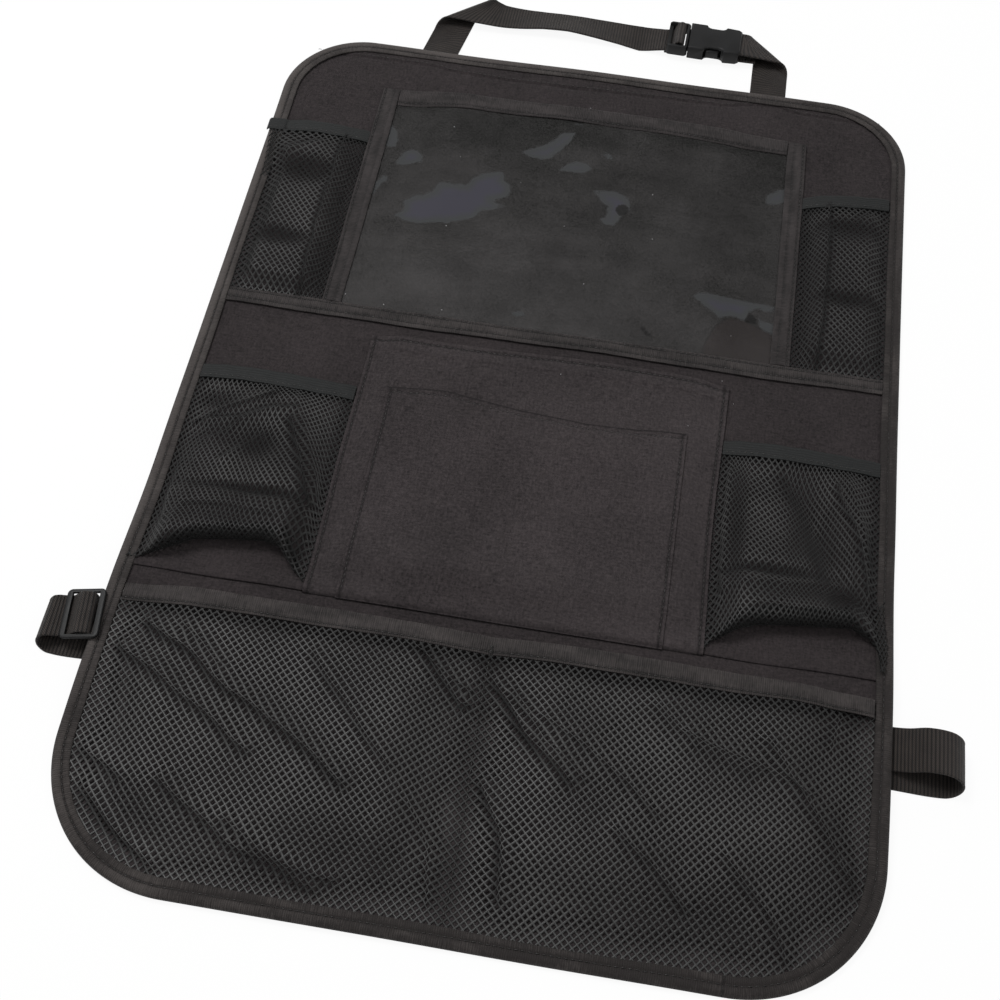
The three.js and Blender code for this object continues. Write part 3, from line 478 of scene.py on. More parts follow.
def filmFinish():
    # clear soft film, a little cloudy, that clings to the cloth behind it in patches; its colour also holds
    # painted light and shade
    finish = Finish("film_clear", Specular_IOR_Level=0.12, IOR=1.45)
    place = finish.place()
    warp = finish.noise(place, 150, 4, 0.65) - 0.5
    edge = finish.mark("cling") + warp * 5.5
    mask = edge.over(-0.7, 0.7)
    inner = edge.over(2.5, 7)
    shadedHollow = (finish.mark("shadedHollow") + warp * 4).over(-0.5, 0.5)
    warm = (finish.mark("warm") + warp * 3).over(-0.6, 1.2)
    rim = (1 - (finish.mark("warm") + warp * 3).size() * 1.4).limit()
    waves = finish.streaks(place, 7, 40, 3)
    smear = finish.noise(place, 26, 4, 0.65)
    specks = finish.noise(place, 900, 2, 0.8)
    x, y, _ = finish.parts(place)
    # smear and specks are the film's own cloudiness; the waves' share paints the light and shade of its
    # ripples
    share = (smear - 0.5) * 0.9 + (waves - 0.5) * 0.7 + (specks - 0.5) * 1.6 + 0.41
    share = (share - (y - 0.14) * 2.0 - x * 0.4).limit()  # painted light: lighter towards the shelf and the left, as the light falls across the film
    hazy = finish.mix(share, tone(36, 36, 35), tone(80, 78, 78))
    hazy = finish.mix(warm * 0.45, hazy, tone(58, 51, 50))
    patch = finish.mix(inner, tone(64, 65, 66), tone(65, 64, 72))
    colour = finish.mix(mask * (1 - shadedHollow), hazy, patch)
    # painted shade in the places marked as hollows, which are not modelled, and a darker line along the
    # warm patch's edge
    colour = finish.mix((shadedHollow * 0.75 + rim * 0.35).limit(), colour, tone(32, 32, 32))
    finish.feed(Base_Color=colour, Alpha=(mask * 0.3 + smear * 0.15 + 0.5).limit())
    finish.feed(Roughness=(mask * 0.08 + smear * 0.15 + 0.45).limit())
    finish.bump(waves * 0.8 + mask * 0.3 + smear * 0.3, 0.5, 0.0009)
    return finish.material


# Where the film clings to the cloth, where those places hold painted shade as if hollow, and where the
# cloth shows warmer
filmOutlines = {
    "cling": [
        [(-117, 157), (-112, 162), (-113, 171), (-107, 175), (-95, 180), (-93, 189), (-74, 189), (-71, 197),
         (-65, 202), (-59, 205), (-52, 207), (-51, 199), (-46, 195), (-44, 190), (-46, 183), (-55, 179),
         (-46, 175), (-55, 170), (-60, 169), (-63, 163), (-72, 158), (-80, 156), (-74, 153), (-87, 154),
         (-99, 151), (-110, 153)],
        [(-42, 226), (-37, 231), (-28, 235), (-22, 243), (-18, 249), (-14, 250), (-9, 251), (-11, 243),
         (-17, 233), (-22, 225), (-28, 222), (-36, 223)],
        [(-16, 214), (-10, 221), (-4, 224), (2, 223), (7, 219), (3, 215), (-6, 214)],
        [(11, 235), (15, 237), (19, 231), (16, 230)],
        [(-136, 240), (-131, 236), (-128, 227), (-129, 219), (-136, 219)],
        [(-123, 215), (-118, 218), (-113, 218), (-109, 213), (-107, 207), (-114, 205), (-120, 203),
         (-125, 204)],
        [(-136, 185), (-132, 193), (-127, 189), (-131, 185), (-134, 175), (-137, 172)],
        [(10, 199), (19, 201), (29, 200), (35, 194), (36, 186), (30, 180), (29, 174), (27, 172), (21, 172),
         (17, 176), (21, 179), (20, 185), (21, 188), (15, 192)],
        [(124, 213), (124, 221), (129, 226), (138, 231), (138, 218), (129, 214)],
        [(83, 123), (88, 126), (114, 126.5), (136, 127), (137, 122), (130, 121), (126, 123), (121, 120),
         (118, 111), (110, 113), (103, 110), (93, 115), (86, 121)],
        [(127, 116), (130, 113), (137, 112), (137, 103), (130, 106), (127, 109)],
        [(-28, 90), (-23, 92.5), (-18, 90), (-23, 87.5)],
        [(-17, 258.5), (-10, 260), (-4, 258.5), (-10, 257.5)],
    ],
    # places painted in shade, as if hollow
    "shadedHollow": [
        [(27, 189), (31, 192), (35, 189), (35, 183), (30, 181), (27, 184)],
        [(118, 111), (121, 120), (126, 112), (124, 109)],
        [(52, 94), (56, 94), (62, 88), (58, 87)],
    ],
    "warm": [[(95, 90), (100, 103), (108, 111), (118, 111), (128, 107), (140, 103), (140, 70), (92, 70)]],
}


def depthInside(x, y, outlines):
    # millimetres inside the nearest outline, less than zero outside them all
    best = np.full(x.shape, -12.0)
    for points in outlines:
        p = np.array(points, float)
        q = np.roll(p, -1, 0)
        near, inside = np.full(x.shape, 1e9), np.zeros(x.shape, bool)
        for (ax, ay), (bx, by) in zip(p, q):
            length = (bx - ax) ** 2 + (by - ay) ** 2
            t = np.clip(((x - ax) * (bx - ax) + (y - ay) * (by - ay)) / length, 0, 1)
            near = np.minimum(near, np.hypot(x - ax - t * (bx - ax), y - ay - t * (by - ay)))
            crosses = (ay > y) != (by > y)
            inside ^= crosses & (x < (bx - ax) * (y - ay) / (by - ay + 1e-12) + ax)
        best = np.maximum(best, np.where(inside, near, -near))
    return best


print("finishes made")

seams = []   # each is a path and the height of the cloth that it is sewn on


def sew(x, y, height):
    seams.append((np.column_stack(np.broadcast_arrays(x, y)), height))


# The panel and its binding

topSeamX = [-215, -113, -105, -61, -10, 41, 92, 104, 118, 131, 134, 143, 215]
topSeamY = [294.7, 295.8, 293.2, 291.2, 291.7, 293.2, 294.2, 297.8, 299.4, 299.4, 296.8, 296.0, 294.7]


def topSeam(x):
    # the lower edge of the turned-down top, which dips between the straps
    return np.interp(x, topSeamX, topSeamY)


def panelTop(x, y):
    turned = 0.55 * ease((y - topSeam(x)) / 0.9) - 0.3 * bell(y - topSeam(x) + 0.6, 0.6)
    crease = -0.7 * bell(y - 291, 1.3) * bell(x + 18, 7)
    return panel["top"] + cloth(x, y) + turned + crease


def buildPanel():
    inset = bindingSize["thickness"] + 0.6
    top = halfHeight - inset
    # rows from the foot up, each with its rise; the lip is the fold at the foot of the pockets
    lip = [(-134, 0), (-131.6, -0.05), (-130.7, 0), (-130.4, 0.3), (-131.5, 0.7), (-132, 1.1),
           (-131.7, 1.45), (-130.6, 1.5), (-128, 1.4), (-125, 0.9), (-121.5, 0.35), (-118.4, 0)]
    rows = [(v, 0) for v in linesWith(-top, top, 4.0, 294.5) if not -137 < v < -116]
    rows += [(end * (top - d), 0) for end in (-1, 1) for d in (0.15, 0.6, 1.4, 2.6)]
    rows = sorted(set(rows))
    at = next(k for k, row in enumerate(rows) if row[0] > -131)
    rows = np.array(rows[:at] + lip + rows[at:])
    side = np.linspace(-1, 1, 100)
    x = side[:, None] * halfAt(rows[:, 0], inset)[None, :]
    y = np.broadcast_to(rows[:, 0], x.shape)
    y = y + (topSeam(x) - 294.5) * bell(y - 294.5, 5)
    wander = 0.5 * np.sin(x / 17) * np.sin(x / 41 + 1) * bell(y + 131, 6)
    z = panelTop(x, y) + rows[None, :, 1] * (0.85 + 0.15 * np.sin(x / 29))
    piece = slab("back_panel_cloth", np.stack([x, y + wander, z], 2), panel["thickness"], looks["cloth"])
    stands("back_panel")
    along = np.arange(-200, 200, 1.0)
    sew(along, topSeam(along) + 1.6, panelTop)


def outline(inset, step=2.6):
    # the panel's edge, anticlockwise, as points and the way outwards
    points, ways = [], []

    def arc(cx, cy, radius, start):
        count = max(8, int(radius * math.pi / 2 / step))
        for k in range(count + 1):
            angle = math.radians(start + 90 * k / count)
            way = (math.cos(angle), math.sin(angle))
            points.append((cx + (radius - inset) * way[0], cy + (radius - inset) * way[1]))
            ways.append(way)

    def side(x0, y0, x1, y1, way):
        count = int(math.hypot(x1 - x0, y1 - y0) / step)
        for k in range(1, count):
            points.append((x0 + (x1 - x0) * k / count, y0 + (y1 - y0) * k / count))
            ways.append(way)

    rt, rb = panel["topRadius"], panel["bottomRadius"]
    w, h = halfWidth, halfHeight
    arc(w - rb, rb - h, rb, -90)
    side(w - inset, rb - h, w - inset, h - rt, (1, 0))
    arc(w - rt, h - rt, rt, 0)
    side(w - rt, h - inset, rt - w, h - inset, (0, 1))
    arc(rt - w, h - rt, rt, 90)
    side(inset - w, h - rt, inset - w, rb - h, (-1, 0))
    arc(rb - w, rb - h, rb, 180)
    side(rb - w, inset - h, w - rb, inset - h, (0, -1))
    return np.array(points), np.array(ways)


def buildBinding():
    # the section runs from the inner edge on top, over the rim and back underneath
    w, groove = bindingSize["width"], bindingSize["stitchInset"]
    section = [
        (w, 3.6), (w, 4.1), (w - 0.5, 4.35), (w - 1.9, 4.55), (groove + 1.1, 4.4), (groove + 0.35, 3.95),
        (groove - 0.35, 3.95), (groove - 1.1, 4.55), (3.0, 4.75), (1.3, 4.25), (0.35, 3.3), (0, 2.2),
        (0.3, 1.0), (1.0, 0.25), (2.2, 0), (w - 0.5, 0), (w, 0.12), (w, 0.7), (1.6, 0.7), (1.0, 1.5),
        (0.9, 2.3), (1.2, 3.2), (2.0, 3.6),
    ]
    # painted shade along the stitch groove of the binding
    paintedGrooveShade = [1.0 if abs(inset - groove) < 0.5 else 0.0 for inset, _ in section]
    points, ways = outline(0, 1.7)
    steps = np.hypot(*(np.roll(points, -1, 0) - points).T)
    along = np.concatenate([[0], np.cumsum(steps)[:-1]])
    inCorner = (np.abs(ways[:, 0]) > 0.02) & (np.abs(ways[:, 1]) > 0.02)
    gather = np.where(inCorner, 0.34, 0.12)
    pucker = gather * np.sin(along / 1.35 + 2 * np.sin(along / 23)) * (0.6 + 0.4 * np.sin(along / 7.3))
    slow = 0.3 * np.sin(along / 53) + 0.22 * np.sin(along / 21 + 2)
    rings, uvs = [], []
    sway = np.concatenate([[0], np.cumsum([math.dist(a, b) for a, b in zip(section, section[1:])])])
    for (inset, height), across in zip(section, sway):
        top = 1.0 if height > 3.5 and inset > 2.5 else 0.0
        inner = 1.0 if inset >= w - 0.6 else 0.4 if inset >= groove - 0.4 else 0.0
        inner = inner if height > 3 else 0.0
        at = points - ways * (inset + inner * (slow * 1.1 + pucker * 0.8) + 0.25 * slow)[:, None]
        z = height + cloth(at[:, 0], at[:, 1]) + top * (pucker * 0.55 + slow * 0.3)
        rings.append(np.column_stack([at, z]))
        uvs.append(np.column_stack([along * mm, np.full(len(along), across * mm)]))
    count, size = len(points), len(section)
    j, k = np.meshgrid(np.arange(size), np.arange(count), indexing="ij")
    ahead, up = (k + 1) % count, (j + 1) % size
    corners = [j * count + k, j * count + ahead, up * count + ahead, up * count + k]
    faces = np.stack(corners, -1).reshape(-1, 4)
    look, uv, marks = looks["binding"], np.concatenate(uvs), {"groove": np.repeat(paintedGrooveShade, count)}
    piece = makePiece("edge_binding_tape", np.concatenate(rings), faces, look, uv=uv, marks=marks)
    stands("edge_binding")
    seam = points - ways * (groove + 0.4 * slow * 1.1 + 0.25 * slow)[:, None]
    sew(*np.concatenate([seam, seam[:1]]).T, lambda x, y: cloth(x, y) + 4.05)


buildPanel()
buildBinding()
print("panel and binding made")

# The cloth pockets, the window and the tapes

window = {
    "left": -134, "right": 135.5, "bottom": 74.5, "top": 267, "rise": 5.0, "run": 52, "slack": 0.92,
    "hem": 13, "sideTape": 12, "thickness": 0.25, "seenHeight": 5.6, "flat": (0.280, 0.196),
}
centrePocket = {
    "left": -109.5, "right": 111.5, "bottom": -129.5, "top": 52, "rise": 5.0, "run": 24,
    "seamInset": 2.6, "hemSeam": 3.2, "thickness": 0.9, "flat": (0.223, 0.194),
}
smallPocket = {
    "left": -90.5, "right": 90, "bottom": -129.5, "rise": 1.6, "run": 24,
    "seamInset": 2.4, "hemSeam": 3.4, "thickness": 0.8, "flat": (0.181, 0.148),
}
shelf = {"y": 69, "width": 11}
footReach = 3.6   # how far a cloth pocket goes on below its foot line
footRows = [footReach * share for share in (1, 0.94, 0.82, 0.62, 0.34)]
eye = (44.6, -506.1, 729.6)   # where the camera is, above the panel's cloth


def seenAt(x, y, height):
    # where a raised point seems to lie on the panel from the camera
    share = height / (eye[2] - height)
    return x + share * (x - eye[0]), y + share * (y - eye[1])


def windowLift(x, y):
    inner = between(x, window["left"], window["right"], 30)
    sag = 0.5 * np.sin(x / 31 + 0.5) * ease((y - 200) / 60)
    waves = 0.35 * np.sin(y / 9.5 + x / 70) * np.sin(x / 44 + 1) + 0.25 * np.sin((x + 2 * y) / 21)
    return puff(x, y, window) * window["slack"] + (sag + waves * ease((y - 80) / 25)) * inner


def footDrop(y, bottom):
    # the foot of a pocket rounds down over the fold
    return 2.4 * (1 - np.sqrt(1 - 0.98 * np.clip((bottom - y) / footReach, 0, 1) ** 2))


def centreLift(x, y):
    slack = 0.7 * np.sin(x / 39 + y / 80) * ease((y + 120) / 60)
    return puff(x, y, centrePocket) + slack * between(x, -100, 102, 30)


def centreFront(x, y):
    left, right, top, inset = (centrePocket[k] for k in ("left", "right", "top", "seamInset"))
    hem = 0.5 * ease(y - top + 11.5)
    turned = 0.55 * (ease((left + 6.2 - x) / 1.5) + ease((x - right + 6.2) / 1.5))
    dips = dip(x, left + inset) + dip(x, right - inset) + dip(y, top - centrePocket["hemSeam"], 0.45)
    return onSeam(x, y, 0.9) + centreLift(x, y) + hem + turned + dips


def smallEdge(x):
    # the wavy top edge of the small pocket
    return np.interp(x, [-90.5, -55, -10, 31, 60, 90], [11.8, 13.9, 7.1, 4.0, 5.1, 9.2])


def smallFront(x, y):
    left, right, inset = (smallPocket[k] for k in ("left", "right", "seamInset"))
    edge = smallEdge(x)
    hem = 0.4 * ease(y - edge + 8)
    dips = dip(x, left + inset) + dip(x, right - inset) + dip(y, edge - smallPocket["hemSeam"], 0.4)
    return onSeam(x, y, 2.05) + centreLift(x, y) + puff(x, y, smallPocket) + hem + dips


def buildCentrePocket():
    left, right, bottom = (centrePocket[k] for k in ("left", "right", "bottom"))
    top, inset = centrePocket["top"], centrePocket["seamInset"]
    hemSeam = top - centrePocket["hemSeam"]
    xs = linesWith(left, right, 4, left + inset, left + 5.6, right - 5.6, right - inset)
    ys = np.concatenate([bottom - np.array(footRows), linesWith(bottom, top, 4, hemSeam, top - 10.5)])
    x, y = np.meshgrid(xs, ys, indexing="ij")

    def bow(x, y):
        return 0.6 * np.sin(x / 33) * ease((y - top + 40) / 40)

    side = 0.7 * np.sin(y / 26) * (ease((-x - 70) / 40) + ease((x - 70) / 40))
    z = centreFront(x, np.maximum(y, bottom)) - footDrop(y, bottom)
    # painted shade along the side seams and the hem's stitch line
    paintedShadeLines = bell(x - left - inset, 0.5) + bell(x - right + inset, 0.5) + 0.8 * bell(y - hemSeam, 0.5)
    points = np.stack([x + side, y + bow(x, y), z], 2)
    pocketPiece("centre_pocket", points, paintedShadeLines, centrePocket)
    across, down = np.arange(left + inset, right - 2.5, 1.0), np.arange(bottom + 1, top - 3, 1.0)
    sew(across, hemSeam + bow(across, hemSeam), centreFront)
    for seamX in (left + inset, right - inset):
        sew(seamX + 0.7 * np.sin(down / 26), down, centreFront)


def buildSmallPocket():
    left, right, bottom, inset = (smallPocket[k] for k in ("left", "right", "bottom", "seamInset"))
    xs = linesWith(left, right, 4, left + inset, right - inset)
    share = linesWith(0, 137, 4, 133.5, 136.4) / 137   # of the way from the foot to the wavy edge
    edge = smallEdge(xs)
    y = bottom + share[None, :] * (edge[:, None] - bottom)
    foot = np.broadcast_to(bottom - np.array(footRows), (len(xs), len(footRows)))
    x = np.broadcast_to(xs[:, None], (len(xs), len(share) + len(footRows)))
    y = np.concatenate([foot - 0.5 * (bottom - foot) / footReach, y], 1)
    z = smallFront(x, np.maximum(y, bottom)) - footDrop(y, bottom)
    near = y - edge[:, None]
    # painted shade along the side seams, a painted contact shadow at the wavy top edge, and fainter along
    # the hem's stitch line
    paintedShadeLines = bell(x - left - inset, 0.5) + bell(x - right + inset, 0.5) + bell(near, 0.7)
    paintedShadeLines = paintedShadeLines + 0.3 * bell(near + smallPocket["hemSeam"], 0.5)
    pocketPiece("small_pocket", np.stack([x, y, z], 2), paintedShadeLines, smallPocket)
    across = np.arange(left + inset, right - 2.3, 1.0)
    sew(across, smallEdge(across) - smallPocket["hemSeam"], smallFront)
    for seamX in (left + inset, right - inset):
        sew(seamX, np.arange(bottom + 1, smallEdge(seamX) - 3, 1.0), smallFront)


def pocketPiece(node, top, paintedShadeLines, pocket):
    # the groove mark carries painted shade to the pocket cloth
    marks = {"groove": np.clip(paintedShadeLines, 0, 1)}
    piece = slab(node + "_cloth", top, pocket["thickness"], looks["pocketCloth"], marks=marks)
    stands(node)


def filmTop(x, y):
    return onSeam(x, y, 0.3) + windowLift(x, y)


def buildWindow():
    xs = np.linspace(window["left"] - 5, window["right"] + 5, 122)
    ys = np.linspace(window["bottom"] - 5, window["top"] - 2, 86)
    x, y = np.meshgrid(xs, ys, indexing="ij")
    seen = seenAt(x, y, window["seenHeight"])
    marks = {name: depthInside(*seen, outlines) for name, outlines in filmOutlines.items()}
    top = filmTop(x, y) - 0.35 * ease((marks["cling"] + 1.5) / 3)
    piece = slab("window_film", np.stack([x, y, top], 2), window["thickness"], filmFinish(), marks=marks)
    stands("tablet_window")


tapeSection = [0, 0.35, 0.8, 1.5, 2.0, 2.5, 3.1, 3.8]


def buildTape(node, start, stop, low, high, rise, lines, wave, alongX=True):
    # a woven tape along x or y, from start to stop and from low to high; lines are how far its rows of
    # stitches lie from its edges, 0 for none, and wave is how much the edges wander
    width = high - low
    across = np.array(tapeSection + [width / 2] + [width - d for d in reversed(tapeSection)])
    a, c = np.meshgrid(np.arange(start, stop + 0.1, 2.2), across, indexing="ij")
    sewn = [at for inset, at in zip(lines, (lines[0], width - lines[1])) if inset]

    def wavy(a, c):
        # the edges wander each in its own way
        lowWave = wave * (np.sin(a / 33 + low) + 0.5 * np.sin(a / 11.7 + high))
        highWave = wave * (np.sin(a / 41 + high) + 0.4 * np.sin(a / 13.3 + low)) * 0.7
        moved = low + c + lowWave * (1 - c / width) + highWave * (c / width)
        return (a, moved) if alongX else (moved, a)

    inside = np.minimum(c, width - c)
    crown = 0.32 * ease(inside) + 0.2 * ease((inside - 2.6) / 1.6)
    crown = crown + sum(dip(c, at, 0.42, 0.42) for at in sewn)
    crown = crown + 0.12 * np.sin(a / 2.9 + 3 * np.sin(a / 31)) * (bell(c, 1.2) + bell(c - width, 1.2))
    x, y = wavy(a, c)
    z = ground(x, y) + panel["tape"] + 0.5 + crown + rise(x, y)
    # painted shade along the tape's stitch lines
    paintedShadeLines = sum(bell(c - at, 0.45) for at in sewn)
    look = looks["windowTape" if node.startswith("window") else "tape"]
    piece = slab(node + "_woven", np.stack([x, y, z], 2), 0.7, look, uv=np.stack([a, c], 2) * mm,
                 marks={"groove": paintedShadeLines})
    stands(node)
    for at in sewn:
        line = wavy(np.arange(start + 0.5, stop, 1.0), at)
        sew(*line, lambda x, y: ground(x, y) + panel["tape"] + 0.55 + rise(x, y))


def buildTapes():
    def level(x, y):
        return 0 * x

    def hemRise(x, y):
        return windowLift(x, y) + 0.9 * ease((y - top + 14) / 3) - 0.7

    left, right, bottom, top, wide = (window[k] for k in ("left", "right", "bottom", "top", "sideTape"))
    bottom, upright = bottom + 0.3, {"wave": 0.25, "alongX": False}
    buildTape("window_tape_left", bottom, top + 1.2, left - wide, left, level, (1.9, 4.2), **upright)
    buildTape("window_tape_right", bottom, top, right, right + wide, level, (4.2, 1.9), **upright)
    buildTape("window_hem_tape", left + 0.3, right - 0.3, top - window["hem"], top, hemRise, (2.0, 0), 0.9)
    low, high = shelf["y"] - shelf["width"] / 2, shelf["y"] + shelf["width"] / 2
    buildTape("shelf_tape", 0.3 - bindingInside, bindingInside - 0.3, low, high, level, (3.2, 1.8), 0.45)


buildCentrePocket()
buildSmallPocket()
buildWindow()
buildTapes()
print("pockets, window and tapes made")

# The nets and their elastics

# tip and side are the holes' reach in half cells, the others are heights
net = {"tip": 0.63, "side": 0.45, "ridge": 0.36, "knot": 0.5, "edge": -0.14}


def netPiece(node, place, keep, span, knit):
    # a knitted net as a lattice of diamond cells with rounded holes: every thread is a low ridge.
    # place lays points of the flat net in space, and keep says which cells there are in the span
    halfU, halfV = knit["cell"][0] / 2, knit["cell"][1] / 2
    u0, u1, v0, v1 = span
    i, j = np.meshgrid(np.arange(math.floor(u0 / halfU), math.ceil(u1 / halfU) + 1),
                       np.arange(math.floor(v0 / halfV), math.ceil(v1 / halfV) + 1), indexing="ij")
    pick = ((i + j) % 2 == 0) & keep(i * halfU, j * halfV)
    i, j = i[pick], j[pick]
    # a cell's corners, in quarters of the cell
    corners = [(2, 0), (1, 1), (0, 2), (-1, 1), (-2, 0), (-1, -1), (0, -2), (1, -1)]
    rim = np.stack([np.stack([2 * i + du, 2 * j + dv], 1) for du, dv in corners], 1)
    unique, index = np.unique(rim.reshape(-1, 2), axis=0, return_inverse=True)
    index = index.reshape(-1, 8)
    isKnot = (unique[:, 0] % 2 == 0) & (unique[:, 1] % 2 == 0)
    turns = np.arange(8) * math.pi / 4
    reach = np.where(np.arange(8) % 2 == 0, net["tip"], net["side"])
    holeU = halfU * (i[:, None] + reach * np.cos(turns))
    holeV = halfV * (j[:, None] + reach * np.sin(turns))
    u = np.concatenate([unique[:, 0] * (halfU / 2), holeU.ravel()])
    v = np.concatenate([unique[:, 1] * (halfV / 2), holeV.ravel()])
    height = np.concatenate([np.where(isKnot, net["knot"], net["ridge"]), np.full(holeU.size, net["edge"])])
    at, shade = place(u, v)
    acrossNet = place(u + 0.6, v)[0] - place(u - 0.6, v)[0]
    normal = np.cross(acrossNet, place(u, v + 0.6)[0] - place(u, v - 0.6)[0])
    normal /= np.maximum(np.linalg.norm(normal, axis=1, keepdims=True), 1e-9)
    hole = len(unique) + np.arange(len(i) * 8).reshape(-1, 8)
    after = np.roll(index, -1, 1), np.roll(hole, -1, 1)
    ring = [np.stack([index[:, k], after[0][:, k], after[1][:, k], hole[:, k]], 1) for k in range(8)]
    marks = {"shade": np.clip(shade + (height == net["edge"]) * 0.4, 0, 1)}
    points = at + normal * height[:, None]
    piece = makePiece(node + "_knit", points, np.concatenate(ring), looks["net"], marks=marks)
    stands(node)


bigPocket = {
    "tapeY": -150, "tapeWidth": 11, "rise": 7.5, "run": 45,
    "knit": {"cell": (4.15, 4.4), "threads": 0.042, "flat": (0.422, 0.152), "held": "stretched"},
    "folds": [
        ([(-189, -164), (-159, -180), (-132, -199), (-100, -214), (-60, -240)], 3.0, 2.5, 2.2, 0.43),
        ([(-201, -179), (-172, -196), (-145, -211), (-113, -231)], 2.8, 1.9, 1.9, 0.31),
        ([(-168, -163), (-139, -186)], 2.4, 1.4, 1.5, 0.25),
        ([(-207, -236), (-174, -254)], 2.6, 1.4, 1.6, 0.28),
        ([(-198, -258), (-166, -283), (-143, -298)], 2.8, 1.9, 1.9, 0.31),
        ([(-158, -250), (-114, -276), (-63, -292)], 2.8, 1.9, 1.9, 0.31),
        ([(-122, -264), (-84, -282), (-55, -286)], 2.4, 1.3, 1.5, 0.25),
        ([(-96, -168), (-62, -204), (-40, -228)], 2.6, 1.1, 1.4, 0.22),
        ([(-46, -153), (-33.5, -161), (-12, -184), (-4, -182)], 2.6, 2.0, 1.8, 0.46),
        ([(-38, -157), (-17, -172), (-5, -176)], 1.8, 1.1, 1.2, 0.31),
        ([(1, -164), (25, -195), (55, -221)], 2.8, 2.4, 2.1, 0.46),
        ([(14, -170), (36, -198), (60, -216)], 2.2, 1.4, 1.4, 0.28),
        ([(31, -183), (72, -207), (100, -229)], 2.4, 1.3, 1.4, 0.25),
        ([(4, -222), (20, -246), (26, -284)], 2.6, 1.8, 1.7, 0.34),
        ([(88, -164), (114, -188), (149, -197)], 4.0, 1.7, 1.6, 0.28),
        ([(105, -181), (140, -190), (178, -205)], 2.8, 1.3, 1.4, 0.25),
        ([(75, -236), (96, -252), (119, -273)], 2.8, 1.5, 1.6, 0.25),
        ([(148, -176), (170, -204), (203, -250)], 3.2, 2.0, 1.9, 0.34),
        ([(189, -151), (182, -178)], 3.0, 1.9, 1.4, 0.37),
        ([(130, -240), (158, -268), (170, -290)], 2.8, 1.3, 1.4, 0.25),
        ([(-30, -238), (-14, -262), (-10, -292)], 2.4, 1.1, 1.3, 0.22),
    ],
}


def bigLift(x, y):
    inset = halfAt(y, bindingSize["width"]) - np.abs(x)
    past = y + halfHeight - bindingSize["width"]
    run = bigPocket["run"]
    held = 1 - (0.42 + 0.58 * ease((-158 - y) / 42)) * (1 - ease(np.abs(x) / run))
    return bigPocket["rise"] * ease(inset / run) * held * ease(past / run)


def bigNetAt(u, v):
    shift, shade = foldShift(*seenAt(u, v, 4), bigPocket["folds"])
    rim = ease((halfAt(v, bindingSize["width"]) - np.abs(u)) / 12) * ease((v + halfHeight - 10) / 12)
    rim = rim * ease((bigPocket["tapeY"] - 4 - v) / 8) * (0.25 + 0.75 * ease(np.abs(u) / 9))
    ripple = 0.8 * np.sin((u + v) / 12.5 + 0.8 * np.sin(u / 31)) * np.sin((u - v) / 33 + 1)
    x, y = u + shift[0] * rim, v + shift[1] * rim
    z = onSeam(x, y, 0.3) + bigLift(x, y) + (shift[2] + ripple) * rim
    seamShade = 0.35 * bell(u, 5) + 0.35 * bell(v - bigPocket["tapeY"] + 8, 4)
    return np.stack([x, y, z], 1), np.maximum(shade, seamShade)


def buildBigNet():
    inset = bindingSize["width"] - 5

    def keep(u, v):
        inside = np.abs(u) < halfAt(v, inset)
        return inside & (v > inset - halfHeight) & (v < bigPocket["tapeY"] + 4)

    span = (-halfWidth, halfWidth, -halfHeight, bigPocket["tapeY"] + 6)
    netPiece("big_net", bigNetAt, keep, span, bigPocket["knit"])

    def notch(x, y):
        return bigLift(x, y) - 0.9 * bell(x, 3.2)

    def tapeRise(x, y):
        return notch(x, y) + 2.4 * bell(x - 197, 7) + 0.3 * np.sin(x / 27)

    low, high = (bigPocket["tapeY"] + side * bigPocket["tapeWidth"] / 2 for side in (-1, 1))
    reach = bindingInside - 0.3
    buildTape("big_pocket_tape", -reach, reach, low, high, tapeRise, (1.7, 0), 0.4)
    # the middle seam that parts the two bays, and the bar tack at its head
    down = np.arange(2 - halfHeight + 10, low, 1.0)
    sew(0.8 * np.sin(down / 23), down, lambda x, y: onSeam(x, y, 0.7) + bigLift(x, y))
    for k in range(7):
        tackY = bigPocket["tapeY"] - 4.4 + 0.75 * k
        sew([-2.0, 2.0], tackY, lambda x, y: ground(x, y) + panel["tape"] + 1.1 + notch(x, y))


def mouthRise(pocket, x):
    # how far the mouth stands off the panel
    share = np.clip((x - pocket["left"]) / (pocket["right"] - pocket["left"]), 0, 1)
    return pocket["mouthDepth"] * np.sin(math.pi * share) ** 0.8


# Upper nets: crease is the line from which squeeze gathers one side, spill the way over the binding
upperPockets = {
    "left": {
        "left": -bindingInside, "right": window["left"] - window["sideTape"], "rise": 8.5, "run": 15,
        "bottom": 74.5, "crease": -163, "squeeze": (1, 0.66), "mouthDepth": 3.6, "spill": 9,
        "bandOver": 11.3, "mouth": lambda x: 218 + 0 * x,
        "folds": [([(-163, 226), (-164, 150), (-162, 76)], 1.9, 1.9, 1.5, 0.7),
                  ([(-194, 205), (-199, 90)], 3, 1.1, 1.1, 0.45),
                  ([(-176, 214), (-198, 196)], 2.6, 1.3, 1.2, 0.35)],
        "dents": [((-181, 185), (13, 8), 4.8, 1.15), ((-188, 124), (14, 4.5), 3.6, 1.05),
                  ((-152, 170), (6, 10), 1.5, 0.5)],
    },
    "right": {
        "left": window["right"] + window["sideTape"], "right": bindingInside, "rise": 8.5, "run": 15,
        "bottom": 74.5, "crease": 164, "squeeze": (0.66, 1), "mouthDepth": 3.6, "spill": 0, "bandOver": 0,
        "mouth": lambda x: 219 + 0.16 * (x - bindingInside + 10),
        "folds": [([(163, 78), (166, 130), (167, 224)], 1.9, 1.9, 1.5, 0.6),
                  ([(196, 214), (180, 204)], 3, 1.2, 1.1, 0.35)],
        "dents": [((179, 199), (13, 5.5), 4.4, 1.2), ((180, 137), (14, 4), 3.6, 1.1)],
    },
}
